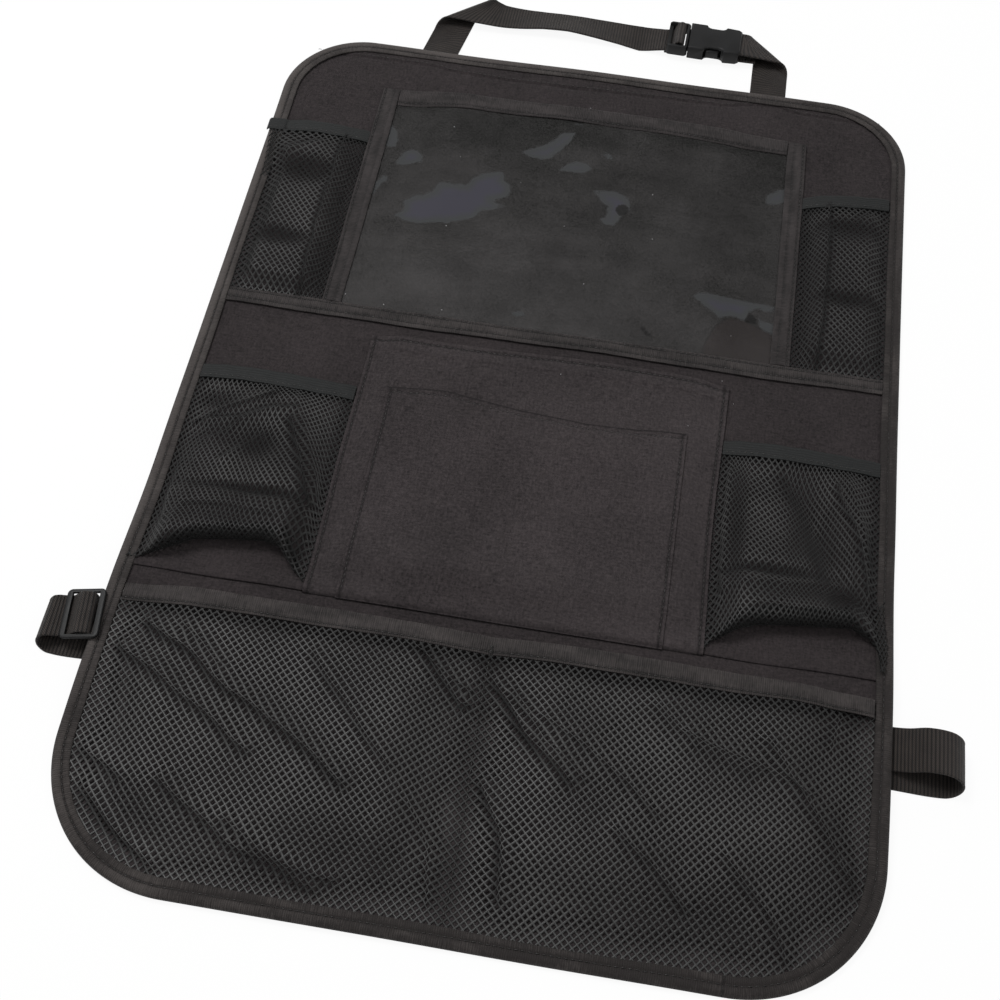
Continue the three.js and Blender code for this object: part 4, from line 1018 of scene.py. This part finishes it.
upperKnit = {"cell": (4.0, 5.0), "threads": 0.0088, "flat": (0.068, 0.150), "held": "stretched"}
pouchKnit = {"cell": (4.0, 4.9), "threads": 0.0125, "flat": (0.100, 0.172), "held": "gathered"}


def upperNetAt(pocket):
    def place(u, v):
        before, after = pocket["squeeze"]
        u = pocket["crease"] + (u - pocket["crease"]) * np.where(u < pocket["crease"], before, after)
        seen = seenAt(u, v, 8)
        shift, shade = foldShift(*seen, pocket["folds"], pocket["dents"])
        rim = between(u, pocket["left"], pocket["right"], 7) * ease((v - 76) / 10)
        ripple = 0.4 * np.sin((u + v) / 9) * np.sin((u - v) / 15)
        x, y = u + shift[0] * rim, v + shift[1] * rim
        gathered = np.where(u < pocket["crease"], before, after) < 1
        y = y + np.where(gathered, 0.35 * (u - pocket["crease"]) * np.sign(after - before), 0) * rim * 0.6
        t = ease((v - pocket["mouth"](u) + 32) / 32)
        z = puff(x, y, pocket) * (1 - t) + mouthRise(pocket, x) * t + (shift[2] + ripple) * rim
        edges = 0.5 * bell(u - pocket["left"], 4) + 0.4 * bell(u - pocket["right"], 4)
        edges = edges + 0.4 * bell(v - pocket["mouth"](u), 5) + 0.22 * gathered
        # near its mouth the net spills over the binding
        over = ease((v - 158) / 58)
        lying = np.minimum(over * 4, 1)
        x = x - pocket["spill"] * over * ease((pocket["left"] + 32 - x) / 32)
        beyond = np.maximum(pocket["left"] - x, 0)
        x = np.where(beyond > 0, pocket["left"] - beyond * (1 - 0.42 * lying), x)
        onBinding = 2.5 * ease((pocket["left"] + 1.6 - x) / 1.6) * lying
        z = np.maximum(z, onBinding * (pocket["spill"] > 0))
        z = onSeam(x, y, 0.25) + np.maximum(z, 0.15)
        return np.stack([x, y, z], 1), np.clip(np.maximum(shade, edges) + 0.16, 0, 1)
    return place


def buildUpperNets():
    for side, pocket in upperPockets.items():
        def keep(u, v, pocket=pocket):
            before, after = pocket["squeeze"]
            low = pocket["crease"] - (pocket["crease"] - pocket["left"] + 4) / before
            high = pocket["crease"] + (pocket["right"] + 4 - pocket["crease"]) / after
            return (u > low) & (u < high) & (v > 70) & (v < pocket["mouth"](u) + 3)
        span = (pocket["left"] - 22, pocket["right"] + 22, 68, 230)
        netPiece("upper_net_" + side, upperNetAt(pocket), keep, span, upperKnit)
        buildElastic("upper_elastic_" + side, pocket, pocket["bandOver"])


def buildElastic(node, pocket, over=0.0):
    # the band at a pocket's mouth; over is how far it goes on past the left edge, on the binding
    xs = np.linspace(pocket["left"] + 0.3 - over, pocket["right"] - 0.3, 56)
    across = np.array([-5, -4.8, -4.2, -3.4, -2.6, -1.7, -0.85, 0, 0.85, 1.7, 2.6, 3.4, 4.2, 4.8, 5])

    def middle(x):
        share = (x - pocket["left"]) / (pocket["right"] - pocket["left"])
        return pocket["mouth"](x) + 0.5 * np.sin(share * 2 * math.pi + 0.5)

    def top(x, y):
        onBinding = 1.5 * ease((pocket["left"] + 1.8 - x) / 1.6) if over else 0
        drooping = 1.1 * ease((-halfWidth - x + 0.4) / 1.6) if over else 0
        return ground(x, y) + panel["tape"] + 0.6 + mouthRise(pocket, x) + onBinding - drooping

    x = np.broadcast_to(xs[:, None], (len(xs), len(across)))
    y = middle(x) + across[None, :] + 0.15 * np.sin(x / 3.1) * np.sign(across)
    cords = 0.22 * ease((5 - np.abs(across)) / 0.8) - 0.1 * np.cos(across * 2 * math.pi / 1.7)
    gather = 0.1 * np.sin(x / 1.9 + np.sin(x / 17))
    uv = np.stack([x * mm, np.broadcast_to(across * mm, x.shape)], 2)
    z = top(x, y) + cords[None, :] + gather
    piece = slab(node + "_band", np.stack([x, y, z], 2), 0.8, looks["elastic"], uv=uv)
    stands(node)
    step = np.arange(xs[0] + 1, xs[-1] - 1, 1.0)
    sew(step, middle(step) - 2.9, lambda x, y: top(x, y) + 0.15)


# The pouches: a front that bulges over an arch and turns under to the panel. The net is gathered
# across: spread gives places on the flat net and where each lies, and rows the lines (place at the
# mouth, lean, sag) between which the rows of cells run straight
pouches = {
    "left": {
        "left": -bindingInside, "right": -109.8, "mouthY": 7, "depth": 15.5, "mouthDepth": 4,
        "mouth": lambda x: 7 + 0 * x, "spill": 0,
        "spread": ([-213, -205, -186, -152, -130, -112, -84, -77],
                   [-211, -205, -190, -165, -150, -135, -109.8, -103.8]),
        "rows": [(-206, 0, 0), (-188, 0, 5), (-151, 0.43, -10), (-108, 0, 2)],
        "arch": ([-205, -192, -182, -176, -156, -136.5, -127, -116.4, -110],
                 [-128, -122, -116.5, -112.5, -109, -106.5, -109.5, -121, -127]),
        "folds": [([(-146, -11), (-140, -24), (-132, -44), (-120, -72)], 2.4, 3.2, 2.0, 0.8),
                  ([(-206, -25), (-192, -17), (-177, -5), (-157, 6)], 2.4, 1.8, 1.5, 0.45),
                  ([(-152, -4), (-176, -18), (-196, -24)], 2.2, 2.0, 1.4, 0.55),
                  ([(-143, -3), (-158, -10), (-176, -24), (-190, -38)], 2.2, 2.0, 1.5, 0.5),
                  ([(-157, -26), (-171, -42), (-178, -54)], 2.2, 1.4, 1.2, 0.4),
                  ([(-192, -88), (-160, -84), (-132, -88)], 2.6, 1.2, 0.9, 0.35),
                  ([(-204, -52), (-200, -100)], 2.6, 1.2, 1.1, 0.35)],
        "dents": [((-150, -71), (26, 2.4), 4.6, 0.8), ((-160, -35), (9, 8), 3.4, 0.8),
                  ((-194, -6), (10, 6), 1.8, 0.6), ((-119, -103), (6, 7), 2.2, 0.55),
                  ((-184, -31), (11, 8), 1.8, 0.4), ((-160, -92), (24, 5), 1.0, 0.35)],
    },
    "right": {
        "left": 111.8, "right": bindingInside, "mouthY": 7, "depth": 15.5, "mouthDepth": 4,
        "mouth": lambda x: 7 + 0 * x, "spill": 5.5,
        "spread": ([103.8, 111.8, 120, 139, 164, 209, 223, 240, 247],
                   [105.8, 111.8, 118, 129, 152, 181, 190, 205, 211]),
        "rows": [(111, 0, 3), (119, 0, -5), (154, 0.36, 10), (182, 0.27, -7), (208, 0, 2)],
        "arch": ([112, 116, 130.5, 140, 164, 190, 198, 204, 205],
                 [-130, -124, -115, -111, -107.5, -104.5, -108.5, -122, -128]),
        "folds": [([(118, 2), (117, -38), (119, -88)], 2.0, 2.8, 1.6, 0.3),
                  ([(152, 4), (160, -20), (172, -52), (181, -80)], 4.5, -1.6, 0.6, 0.4),
                  ([(181, -1), (189, -25), (197, -44), (202, -76)], 2.2, 2.8, 1.8, 0.45),
                  ([(121, -84), (150, -79), (188, -76)], 2.6, 1.3, 0.9, 0.3),
                  ([(134, -97), (170, -95), (200, -93)], 2.4, 1.3, 0.9, 0.3)],
        "dents": [((143, -71), (22, 2.6), 4.0, 0.75), ((188, -85), (8, 5.5), 3.4, 0.95),
                  ((125, -40), (4.5, 28), 1.6, 0.6), ((163, -28), (8, 20), 1.8, 0.45),
                  ((176, -45), (6, 18), 1.0, 0.4), ((158, -84), (22, 5), 1.0, 0.4)],
    },
}


def rowSag(x, down, rows):
    sag = np.zeros(np.shape(x))
    for (x0, lean0, sag0), (x1, lean1, sag1) in zip(rows, rows[1:]):
        low, high = x0 + lean0 * down, np.minimum(x1 + lean1 * down, rows[-1][0] - 2)
        share = (x - low) / np.maximum(high - low, 1)
        sag = np.where((x >= low) & (share < 1), sag0 + (sag1 - sag0) * share, sag)
    return sag


def pouchSides(pocket, x):
    return between(x, pocket["left"], pocket["right"], 18)


def pouchFront(pocket, x):
    # the length of the front, from the mouth to where it turns under
    radius = np.maximum((pocket["depth"] * pouchSides(pocket, x) + 0.25) / 2 - 0.2, 0.3)
    return pocket["mouthY"] - np.interp(x, *pocket["arch"]) - 0.9 * radius


def pouchAt(pocket):
    # v runs down from the mouth: the front first, then round the fold and back up under it
    def place(u, v):
        x = np.interp(u, *pocket["spread"])
        sides, front, down = pouchSides(pocket, x), pouchFront(pocket, x), -v
        rim = between(x, pocket["left"], pocket["right"], 9)
        held = ease(down / 24) * (1 - ease((down - front + 24) / 22)) * rim
        down = down + rowSag(x, np.maximum(down, 0), pocket["rows"]) * held
        share = ease(np.clip(down / front, 0, 1))
        high = mouthRise(pocket, x) * (1 - share) + pocket["depth"] * sides * share + 0.25
        radius = np.maximum(high / 2 - 0.2, 0.3)
        past = np.clip(down - front, 0, None)
        angle = np.clip(past / radius, 0, math.pi)
        back = np.clip(past - math.pi * radius, 0, None)
        y = pocket["mouthY"] - np.minimum(down, front) - radius * np.sin(angle) * 0.9 + back
        z = high - radius * (1 - np.cos(angle))
        arch = np.interp(x, *pocket["arch"])
        shift, shade = foldShift(*seenAt(x, np.maximum(y, arch), 11.5), pocket["folds"], pocket["dents"])
        rim = rim * ease(down / 9) * (1 - ease(past / 6))
        ripple = 0.7 * np.sin((x + y) / 8.5) * np.sin((x - y) / 14 + 1)
        edges = 0.45 * (bell(x - pocket["left"], 4) + bell(x - pocket["right"], 4)) + 0.4 * bell(down, 6)
        over = pocket["spill"] * bell(y + 112, 13) * ease((x - pocket["right"] + 24) / 24)
        x, y = x + shift[0] * rim + over, y + shift[1] * rim
        if pocket["spill"]:
            beyond = x - pocket["right"]
            x = np.where(beyond > 0, pocket["right"] + beyond * (1 - 0.42 * np.minimum(over, 1)), x)
        z = np.maximum(z + (shift[2] + ripple) * rim, 0.15)
        z = np.maximum(z, 2.3 * ease((x - pocket["right"] + 1.6) / 1.6) * np.minimum(over, 1))
        shade = np.maximum(shade * (1 - ease(past / 6)), edges + 0.75 * ease(past / (radius * 2)))
        return np.stack([x, y, onSeam(x, y, 0.25) + z], 1), np.clip(shade + 0.12, 0, 1)
    return place


def buildPouches():
    for side, pocket in pouches.items():
        def keep(u, v, pocket=pocket, side=side):
            x = np.interp(u, *pocket["spread"])
            low = pocket["left"] - (5 if side == "left" else 0.4)
            high = pocket["right"] + (5 if side == "right" else 0.4)
            reach = pouchFront(pocket, x) + 3 + 30 * pouchSides(pocket, x)
            return (x > low) & (x < high) & (v < 3) & (-v < reach)
        span = (pocket["spread"][0][0], pocket["spread"][0][-1], -175, 4)
        netPiece("side_net_" + side, pouchAt(pocket), keep, span, pouchKnit)
        buildElastic("side_elastic_" + side, pocket)


buildBigNet()
buildUpperNets()
buildPouches()
print("nets and elastics made")

# The straps, the buckle and the slider

webbing = {"width": 25, "thickness": 1.4, "foldRadius": 3.6, "gap": 0.3}
webHalf, webLow = webbing["width"] / 2, webbing["thickness"] / 2
buckleAt = {"x": 69.2, "y": 354, "tilt": -6, "turn": -1.5, "length": 52, "width": 29.6, "height": 10}
sliderAt = {"x": -221.6, "y": -167.7, "pitch": -8, "turn": 7, "length": 22, "thickness": 2.2}


def placement(x, y, z, tilt, turn, pitch=0):
    turned = Matrix.Rotation(math.radians(turn), 4, "Z") @ Matrix.Rotation(math.radians(pitch), 4, "Y")
    return Matrix.Translation((x, y, z)) @ turned @ Matrix.Rotation(math.radians(tilt), 4, "X")


def stationsIn(matrix, points, flip=False):
    # a station is the middle of the webbing and half its width, as vectors
    origin = matrix @ Vector((0, 0, 0))
    half = matrix @ Vector((0, webHalf, 0)) - origin
    return [(matrix @ Vector((x, 0, z)), -half if flip else half) for x, z in points]


def foldStations(centre, inTurn, outTurn, steps=12):
    # webbing folded over on itself, so that it leaves in another direction
    foldRadius = webbing["foldRadius"]

    def way(turn):
        return Vector((math.cos(math.radians(turn)), math.sin(math.radians(turn)), 0))

    arriving, crease = way(inTurn), way((inTurn + outTurn) / 2)
    between = math.radians(abs(inTurn - outTurn) / 2)
    outwards = (arriving - crease * math.cos(between)).normalized()
    halfSpan = webHalf / math.sin(between)
    stations = []
    for k in range(steps + 1):
        angle = math.pi * k / steps
        along = foldRadius * (angle - math.pi / 2) / math.tan(between)
        middle = centre + crease * along + outwards * foldRadius * math.sin(angle)
        middle.z = webLow + foldRadius * (1 - math.cos(angle))
        stations.append((middle, crease * halfSpan))
    return stations


def turnPoints(x, z, radius, start, stop, steps):
    turns = [math.radians(start + (stop - start) * k / steps) for k in range(steps + 1)]
    return [(x + radius * math.cos(t), z + radius * math.sin(t)) for t in turns]


def strapPiece(name, node, stations):
    # webbing along its stations: a rounded section with bound edges, smoothed between the stations
    middles = np.array([list(m) for m, _ in stations])
    halves = np.array([list(h) for _, h in stations])
    path, widths = [], []
    count = len(stations)
    for k in range(count - 1):
        p0, p1, p2, p3 = (middles[min(max(k + d, 0), count - 1)] for d in (-1, 0, 1, 2))
        chord = np.linalg.norm(p2 - p1)
        before, after = max(np.linalg.norm(p1 - p0), 1e-6), max(np.linalg.norm(p3 - p2), 1e-6)
        m1 = chord * ((p1 - p0) / before + (p2 - p1) / chord) / 2 if k > 0 else p2 - p1
        m2 = chord * ((p3 - p2) / after + (p2 - p1) / chord) / 2 if k < count - 2 else p2 - p1
        steps = max(2, min(40, int(chord / 2.2))) if chord > 4 else 3
        for s in range(steps):
            t = s / steps
            a, b = 2 * t**3 - 3 * t**2 + 1, t**3 - 2 * t**2 + t
            c, d = 3 * t**2 - 2 * t**3, t**3 - t**2
            path.append(a * p1 + b * m1 + c * p2 + d * m2)
            widths.append(halves[k] * (1 - t) + halves[k + 1] * t)
    path.append(middles[-1])
    widths.append(halves[-1])
    path, widths = np.array(path), np.array(widths)
    # it lies on the floor, never in it
    path[:, 2] = np.maximum(path[:, 2], np.abs(widths[:, 2]) + webLow)
    tangent = np.gradient(path, axis=0)
    normal = np.cross(tangent, widths)
    normal /= np.linalg.norm(normal, axis=1, keepdims=True)
    along = np.concatenate([[0], np.cumsum(np.linalg.norm(np.diff(path, axis=0), axis=1))])
    section = [(-0.96, 1), (-0.9, 0.86), (-0.45, 0.92), (0, 0.94), (0.45, 0.92), (0.9, 0.86), (0.96, 1),
               (0.99, 0.7), (1, 0), (0.99, -0.7), (0.96, -1), (0.9, -0.86), (0, -0.94), (-0.9, -0.86),
               (-0.96, -1), (-0.99, -0.7), (-1, 0), (-0.99, 0.7)]
    size = len(section)
    rings = [path + widths * a + normal * (b * webLow) for a, b in section]
    points = np.stack(rings, 1).reshape(-1, 3)
    across = [(a + 1) * webHalf + (30 if b < 0 else 0) for a, b in section]
    uv = np.stack([np.column_stack(np.broadcast_arrays(along, place)) for place in across], 1)
    faces = []
    for k in range(len(path) - 1):
        for j in range(size):
            n = (j + 1) % size
            faces.append((k * size + j, k * size + n, (k + 1) * size + n, (k + 1) * size + j))
    faces.append(tuple(range(size - 1, -1, -1)))
    last = (len(path) - 1) * size
    faces.append(tuple(last + j for j in range(size)))
    piece = makePiece(name, points, faces, looks["webbing"], uv=uv.reshape(-1, 2) * mm)
    stands(node)


def risingStations(xAt, half, last):
    # up from where the strap is sewn on behind the panel's top edge
    ys = (halfHeight - 28, halfHeight - 4, halfHeight + last)
    return [(Vector((xAt(y), y, webLow)), half) for y in ys]


def buckleMatrix():
    lean = math.radians(abs(buckleAt["tilt"]))
    z = (buckleAt["width"] * math.sin(lean) + buckleAt["height"] * math.cos(lean)) / 2
    return placement(buckleAt["x"], buckleAt["y"], z, buckleAt["tilt"], buckleAt["turn"])


def buildLongStrap():
    # folded over towards the buckle, and rolled round the plug's two bars
    turn = math.radians(10)

    def xAt(y):
        return -116 + (y - halfHeight) * math.tan(turn)

    rising = risingStations(xAt, Vector((-math.cos(turn) * webHalf, math.sin(turn) * webHalf, 0)), 12)
    fold = [(m, -h) for m, h in foldStations(Vector((xAt(347.4) + 5.1, 351.7, 0)), 80, 0)]
    # the run rests on its far edge in the middle, with its near edge a little up
    run = [(Vector((-88, 356, 6.4)), Vector((-6, -webHalf, 0)))]
    leaning = ((-76, 356, 4.6, 4), (-62, 357, 3.6, 9), (-46, 358, 3.9, 14), (-28, 358.5, 4.0, 15),
               (-8, 357.5, 3.2, 11), (10, 356.5, 2.1, 6), (24, 356, 0.8, 0))
    for x, y, z, degrees in leaning:
        lean = math.radians(degrees)
        run.append((Vector((x, y, z)), Vector((0, -webHalf * math.cos(lean), webHalf * math.sin(lean)))))
    barWidth, barThickness, barGap = 2.6, 2.4, 3.8
    offset = barThickness / 2 + webLow + 1.5 * webbing["gap"]
    plugLeft, barHalf = -buckleAt["length"] / 2, barWidth / 2
    firstBar = plugLeft + barHalf
    rollBar = firstBar + barWidth + barGap
    rollFar = rollBar + barHalf
    tail = -offset - webbing["thickness"] - webbing["gap"]
    inPlug = stationsIn(buckleMatrix(), [
        (plugLeft - 3, -offset - 0.5), (firstBar, -offset), (firstBar + barHalf + 0.45, -offset),
        (rollBar - barHalf - 0.2, offset + 1.3), (rollBar + 0.1, offset + 2.8),
        (rollFar + 0.8, offset + 2.7), (rollFar + 2.2, 3.4), (rollFar + 2.5, 1.4), (rollFar + 2.3, -1.2),
        (rollFar + 0.8, tail + 0.5), (rollBar - barHalf, tail), (firstBar, tail), (plugLeft - 1, tail),
    ], flip=True)
    strapPiece("strap_top_long_webbing", "top_strap_long", rising + fold + run + inPlug)


def buildShortStrap():
    # folded over towards the buckle, and once round the socket's bar
    rising = risingStations(lambda y: 118.3, Vector((-webHalf, 0, 0)), 14)
    fold = foldStations(Vector((114.3, 349.5, 0)), 90, 180)
    end = buckleAt["length"] / 2
    bar, wrap = end - 4, 1.5 + 1.5 * webbing["gap"] + webLow
    points = [(end + 2, wrap), (bar, wrap)] + turnPoints(bar, 0, wrap, 120, 240, 4)
    inSocket = stationsIn(buckleMatrix(), points + [(bar, -wrap), (end + 12, -wrap)])
    strapPiece("strap_top_short_webbing", "top_strap_short", rising + fold + inSocket)


def loopPoints(x, z, radius, start, stop):
    # round a loop beside the panel; the third value is the share of the drift from upperY to lowerY
    points = turnPoints(x, z, radius, start, stop, 6)
    return [(px, pz, 0.45 + k * 0.08) for k, (px, pz) in enumerate(points)]


def buildLowerStrap():
    # from the panel's right edge round the right loop, under the panel, round the left loop,
    # through the slider and to the left edge
    gap, reach, bar, centre = webbing["gap"], sliderAt["length"] / 2, 3.2, 1.4
    sewnZ = strapBelow["ride"] - gap - webLow
    clear = sliderAt["thickness"] / 2 + gap
    pitchRise = reach * math.sin(math.radians(abs(sliderAt["pitch"])))
    sliderZ = strapBelow["ride"] + panel["bindingTop"] + clear - pitchRise / 2 + 0.4
    slider = placement(sliderAt["x"], sliderAt["y"], sliderZ, 0, sliderAt["turn"], sliderAt["pitch"])
    half = Vector((0, webHalf, 0))
    upperY, lowerY = sliderAt["y"], sliderAt["y"] - 9
    radiusRight, radiusLeft = 7.5, 5.2
    rightX, leftX = 252.7 - radiusRight - webLow, radiusLeft + webLow - 243.5
    rightZ, leftZ = webLow + radiusRight, webLow + radiusLeft
    top = rightZ + radiusRight
    way = [(187, sewnZ, 0), (217, sewnZ, 0), (224, sewnZ + 3.4, 0.1), (233, top - 1.6, 0.2)]
    way += [(rightX, top, 0.35)]
    way += loopPoints(rightX, rightZ, radiusRight, 65, -65) + [(rightX, webLow, 1)]
    way += [(rightX - 30 + (leftX + 60 - rightX) * k / 6, webLow, 1) for k in range(7)]
    way += [(leftX, webLow, 1)] + loopPoints(leftX, leftZ, radiusLeft, 110, 245)[::-1]
    world = [(Vector((x, upperY + (lowerY - upperY) * s, z)), half) for x, z, s in way]
    below = -(sliderAt["thickness"] / 2 + webLow + 1.5 * gap)
    points = [(-reach, below), (bar - reach, below), (-centre, -below), (centre, -below)]
    inSlider = stationsIn(slider, points + [(centre + 2.9, 0.9), (centre + 3.7, -1.6)])
    ends = ((-216.2, sewnZ + 1.6), (-215.0, sewnZ + 0.2), (-212, sewnZ), (-187, sewnZ))
    sewn = [(Vector((x, upperY, z)), half) for x, z in ends]
    strapPiece("strap_lower_webbing", "lower_strap", world + inSlider + sewn)


buildLongStrap()
buildShortStrap()
buildLowerStrap()


def roundedCopy(node, width):
    # the moulded piece with its edges rounded over
    piece = bpy.data.objects.new(node + "_moulding", nodes[node].data.copy())
    bpy.context.scene.collection.objects.link(piece)
    piece.data.materials.clear()
    piece.data.materials.append(looks["plastic"])
    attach(piece, "root")
    weld = piece.modifiers.new("weld", "WELD")
    weld.merge_threshold = 0.00001
    flatten = piece.modifiers.new("flatten", "DECIMATE")
    flatten.decimate_type = "DISSOLVE"
    flatten.angle_limit = math.radians(2)
    bevel = piece.modifiers.new("bevel", "BEVEL")
    bevel.width = width * mm
    bevel.segments = 2
    bevel.limit_method = "ANGLE"
    bevel.angle_limit = math.radians(25)
    piece.data.polygons.foreach_set("use_smooth", [True] * len(piece.data.polygons))
    stands(node)


roundedCopy("buckle_plug", 0.3)
roundedCopy("buckle_socket", 0.35)
roundedCopy("slider", 0.35)
print("straps and buckles made")

# Stitching and lint

stitch = {"length": 2.7, "pitch": 3.5, "width": 0.27, "height": 0.2}


def threadStitches():
    # each stitch is a short rounded length of thread that dips into the cloth at both ends; a ring has
    # its share of the length, its rise and its girth
    starts, ends, zStarts, zEnds = [], [], [], []
    for path, height in seams:
        path = np.asarray(path, float)
        steps = np.hypot(*np.diff(path, axis=0).T)
        along = np.concatenate([[0], np.cumsum(steps)])
        first = np.arange(0.4, along[-1] - stitch["length"], stitch["pitch"])
        for offset, store, levels in ((0, starts, zStarts), (stitch["length"], ends, zEnds)):
            at = np.stack([np.interp(first + offset, along, path[:, k]) for k in (0, 1)], 1)
            store.append(at)
            levels.append(height(at[:, 0], at[:, 1]))
    starts, ends = np.concatenate(starts), np.concatenate(ends)
    zStarts, zEnds = np.concatenate(zStarts), np.concatenate(zEnds)
    way = ends - starts
    way /= np.linalg.norm(way, axis=1, keepdims=True)
    side = np.stack([-way[:, 1], way[:, 0]], 1)
    rings = [(0.0, -0.25, 0.0), (0.14, 0.02, 0.85), (0.5, 0.12, 1.0), (0.86, 0.02, 0.85), (1.0, -0.25, 0.0)]
    points = []
    for share, lift, girth in rings:
        at = starts * (1 - share) + ends * share
        z = zStarts * (1 - share) + zEnds * share + lift
        for turn in ((0,) if girth == 0 else (0, 90, 180, 270)):
            out = math.cos(math.radians(turn)) * stitch["width"]
            rise = math.sin(math.radians(turn)) * stitch["height"]
            points.append(np.column_stack([at + side * out * girth, z + rise * girth]))
    points = np.stack(points, 1)
    faces = [(0, 1 + k, 1 + (k + 1) % 4) for k in range(4)]
    faces += [(13, 9 + (k + 1) % 4, 9 + k) for k in range(4)]
    base = (np.arange(len(points)) * 14)[:, None, None]
    tips = (base + np.array(faces)).reshape(-1, 3)
    walls = [(r + k, r + 4 + k, r + 4 + (k + 1) % 4, r + (k + 1) % 4) for r in (1, 5) for k in range(4)]
    walls = (base + np.array(walls)).reshape(-1, 4)
    makePiece("stitching_thread", points.reshape(-1, 3), tips.tolist() + walls.tolist(), looks["thread"])


# each speck: where it seems to lie, and its size
lintSpots = [
    (-92, 242, 0.8), (-83, 215, 0.55), (-81, 151.5, 0.8), (-39, 198.5, 0.5), (-5, 165, 0.5),
    (49, 203.5, 0.7), (53, 165, 0.7), (-108.5, 83, 0.75), (-71.5, 85, 0.7), (-134, 87, 0.6),
    (110.5, 97, 0.5), (-2, 273, 0.7), (14, 119, 0.6), (107.5, 57, 0.5), (116, 43, 0.6), (10, 41, 0.45),
    (-47, -89, 0.45), (90, 17.5, 0.45),
]


def lintSpecks():
    # pale flecks of lint that lie on the film and the cloth
    chance = random.Random(4)
    points, faces = [], []
    for seenX, seenY, size in lintSpots:
        height = window["seenHeight"] if seenY > 74 else 2
        share = height / eye[2]
        x, y = seenX - share * (seenX - eye[0]), seenY - share * (seenY - eye[1])
        if y > 262:
            z = float(cloth(x, y) + panel["tape"] + 6.2)
        elif y > 74:
            z = float(filmTop(x, y))
        else:
            z = float(centreFront(x, y)) if abs(x) < 109 else float(panelTop(x, y))
        start, turn = len(points), chance.uniform(0, math.pi)
        for k in range(8):
            angle = turn + k * math.pi / 4
            reach = size * chance.uniform(0.35, 0.75)
            points.append((x + reach * math.cos(angle), y + reach * math.sin(angle), z + 0.1))
        points += [(x, y, z + 0.1 + size * 0.45), (x, y, z - 0.05)]
        for k in range(8):
            here, after = start + k, start + (k + 1) % 8
            faces += [(here, after, start + 8), (after, here, start + 9)]
    makePiece("lint_specks", points, faces, lintFinish())


threadStitches()
lintSpecks()
print("stitching made")

# Floor, light and camera

studio = {
    "floor": 6.0, "floorWhite": 0.92, "world": 0.42,
    "lamps": {   # place, size and power of each lamp, which looks at the panel
        "key_lamp": ((-0.9, 0.45, 2.1), 1.0, 33),
        "fill_lamp": ((1.4, -0.5, 1.9), 1.6, 7),
    },
}
view = {
    "lens": 53.70, "film": 36, "place": (44.62, -506.14, 732.1),
    "right": (0.98643, 0.16231, 0.02466), "up": (-0.15042, 0.83342, 0.53178),
    "back": (0.06576, -0.52828, 0.84652),
}


def stageFloor():
    # a pale floor that keeps the object's shadow and otherwise shows white
    mesh = bpy.data.meshes.new("floor_sheet")
    size = studio["floor"]
    corners = [(-size, -size, 0), (size, -size, 0), (size, size, 0), (-size, size, 0)]
    mesh.from_pydata(corners, [], [(0, 1, 2, 3)])
    floor = bpy.data.objects.new("floor_sheet", mesh)
    bpy.context.scene.collection.objects.link(floor)
    finish = Finish("floor_white", Roughness=0.9, Specular_IOR_Level=0.1, Base_Color=(0.95, 0.95, 0.95, 1))
    share = finish.rays("Camera", "Glossy", "Transmission") * studio["floorWhite"]
    glow = finish.node("ShaderNodeEmission", values={"Color": (1, 1, 1, 1), "Strength": 1.0})
    surface = Sock(finish, finish.shader.outputs[0])
    blended = finish.node("ShaderNodeMixShader", values=[share, surface, glow])
    finish.tree.links.new(blended.link, finish.output.inputs["Surface"])
    mesh.materials.append(finish.material)


def setLight():
    world = bpy.data.worlds.new("studio")
    bpy.context.scene.world = world
    world.use_nodes = True
    wiring = Wiring(world.node_tree)
    strength = wiring.rays("Camera") * (1 - studio["world"]) + studio["world"]   # white behind the object
    background = world.node_tree.nodes["Background"]
    background.inputs["Color"].default_value = (1, 1, 1, 1)
    world.node_tree.links.new(strength.link, background.inputs["Strength"])
    for name, (place, size, power) in studio["lamps"].items():
        data = bpy.data.lights.new(name, "AREA")
        data.shape, data.size, data.energy = "DISK", size, power
        light = bpy.data.objects.new(name, data)
        light.location = place
        light.rotation_euler = (-Vector(place)).to_track_quat("-Z", "Y").to_euler()
        bpy.context.scene.collection.objects.link(light)


def setCamera():
    data = bpy.data.cameras.new("camera")
    data.lens, data.sensor_width = view["lens"], view["film"]
    data.clip_start, data.clip_end = 0.01, 50
    camera = bpy.data.objects.new("camera", data)
    place = Vector(view["place"]) * mm + Vector((centreX, centreY, 0))
    turned = Matrix((view["right"], view["up"], view["back"])).transposed().to_4x4()
    camera.matrix_world = Matrix.Translation(place) @ turned
    bpy.context.scene.collection.objects.link(camera)
    bpy.context.scene.camera = camera


stageFloor()
setLight()
setCamera()
bpy.context.scene.view_settings.view_transform = "Standard"
print("stage set")
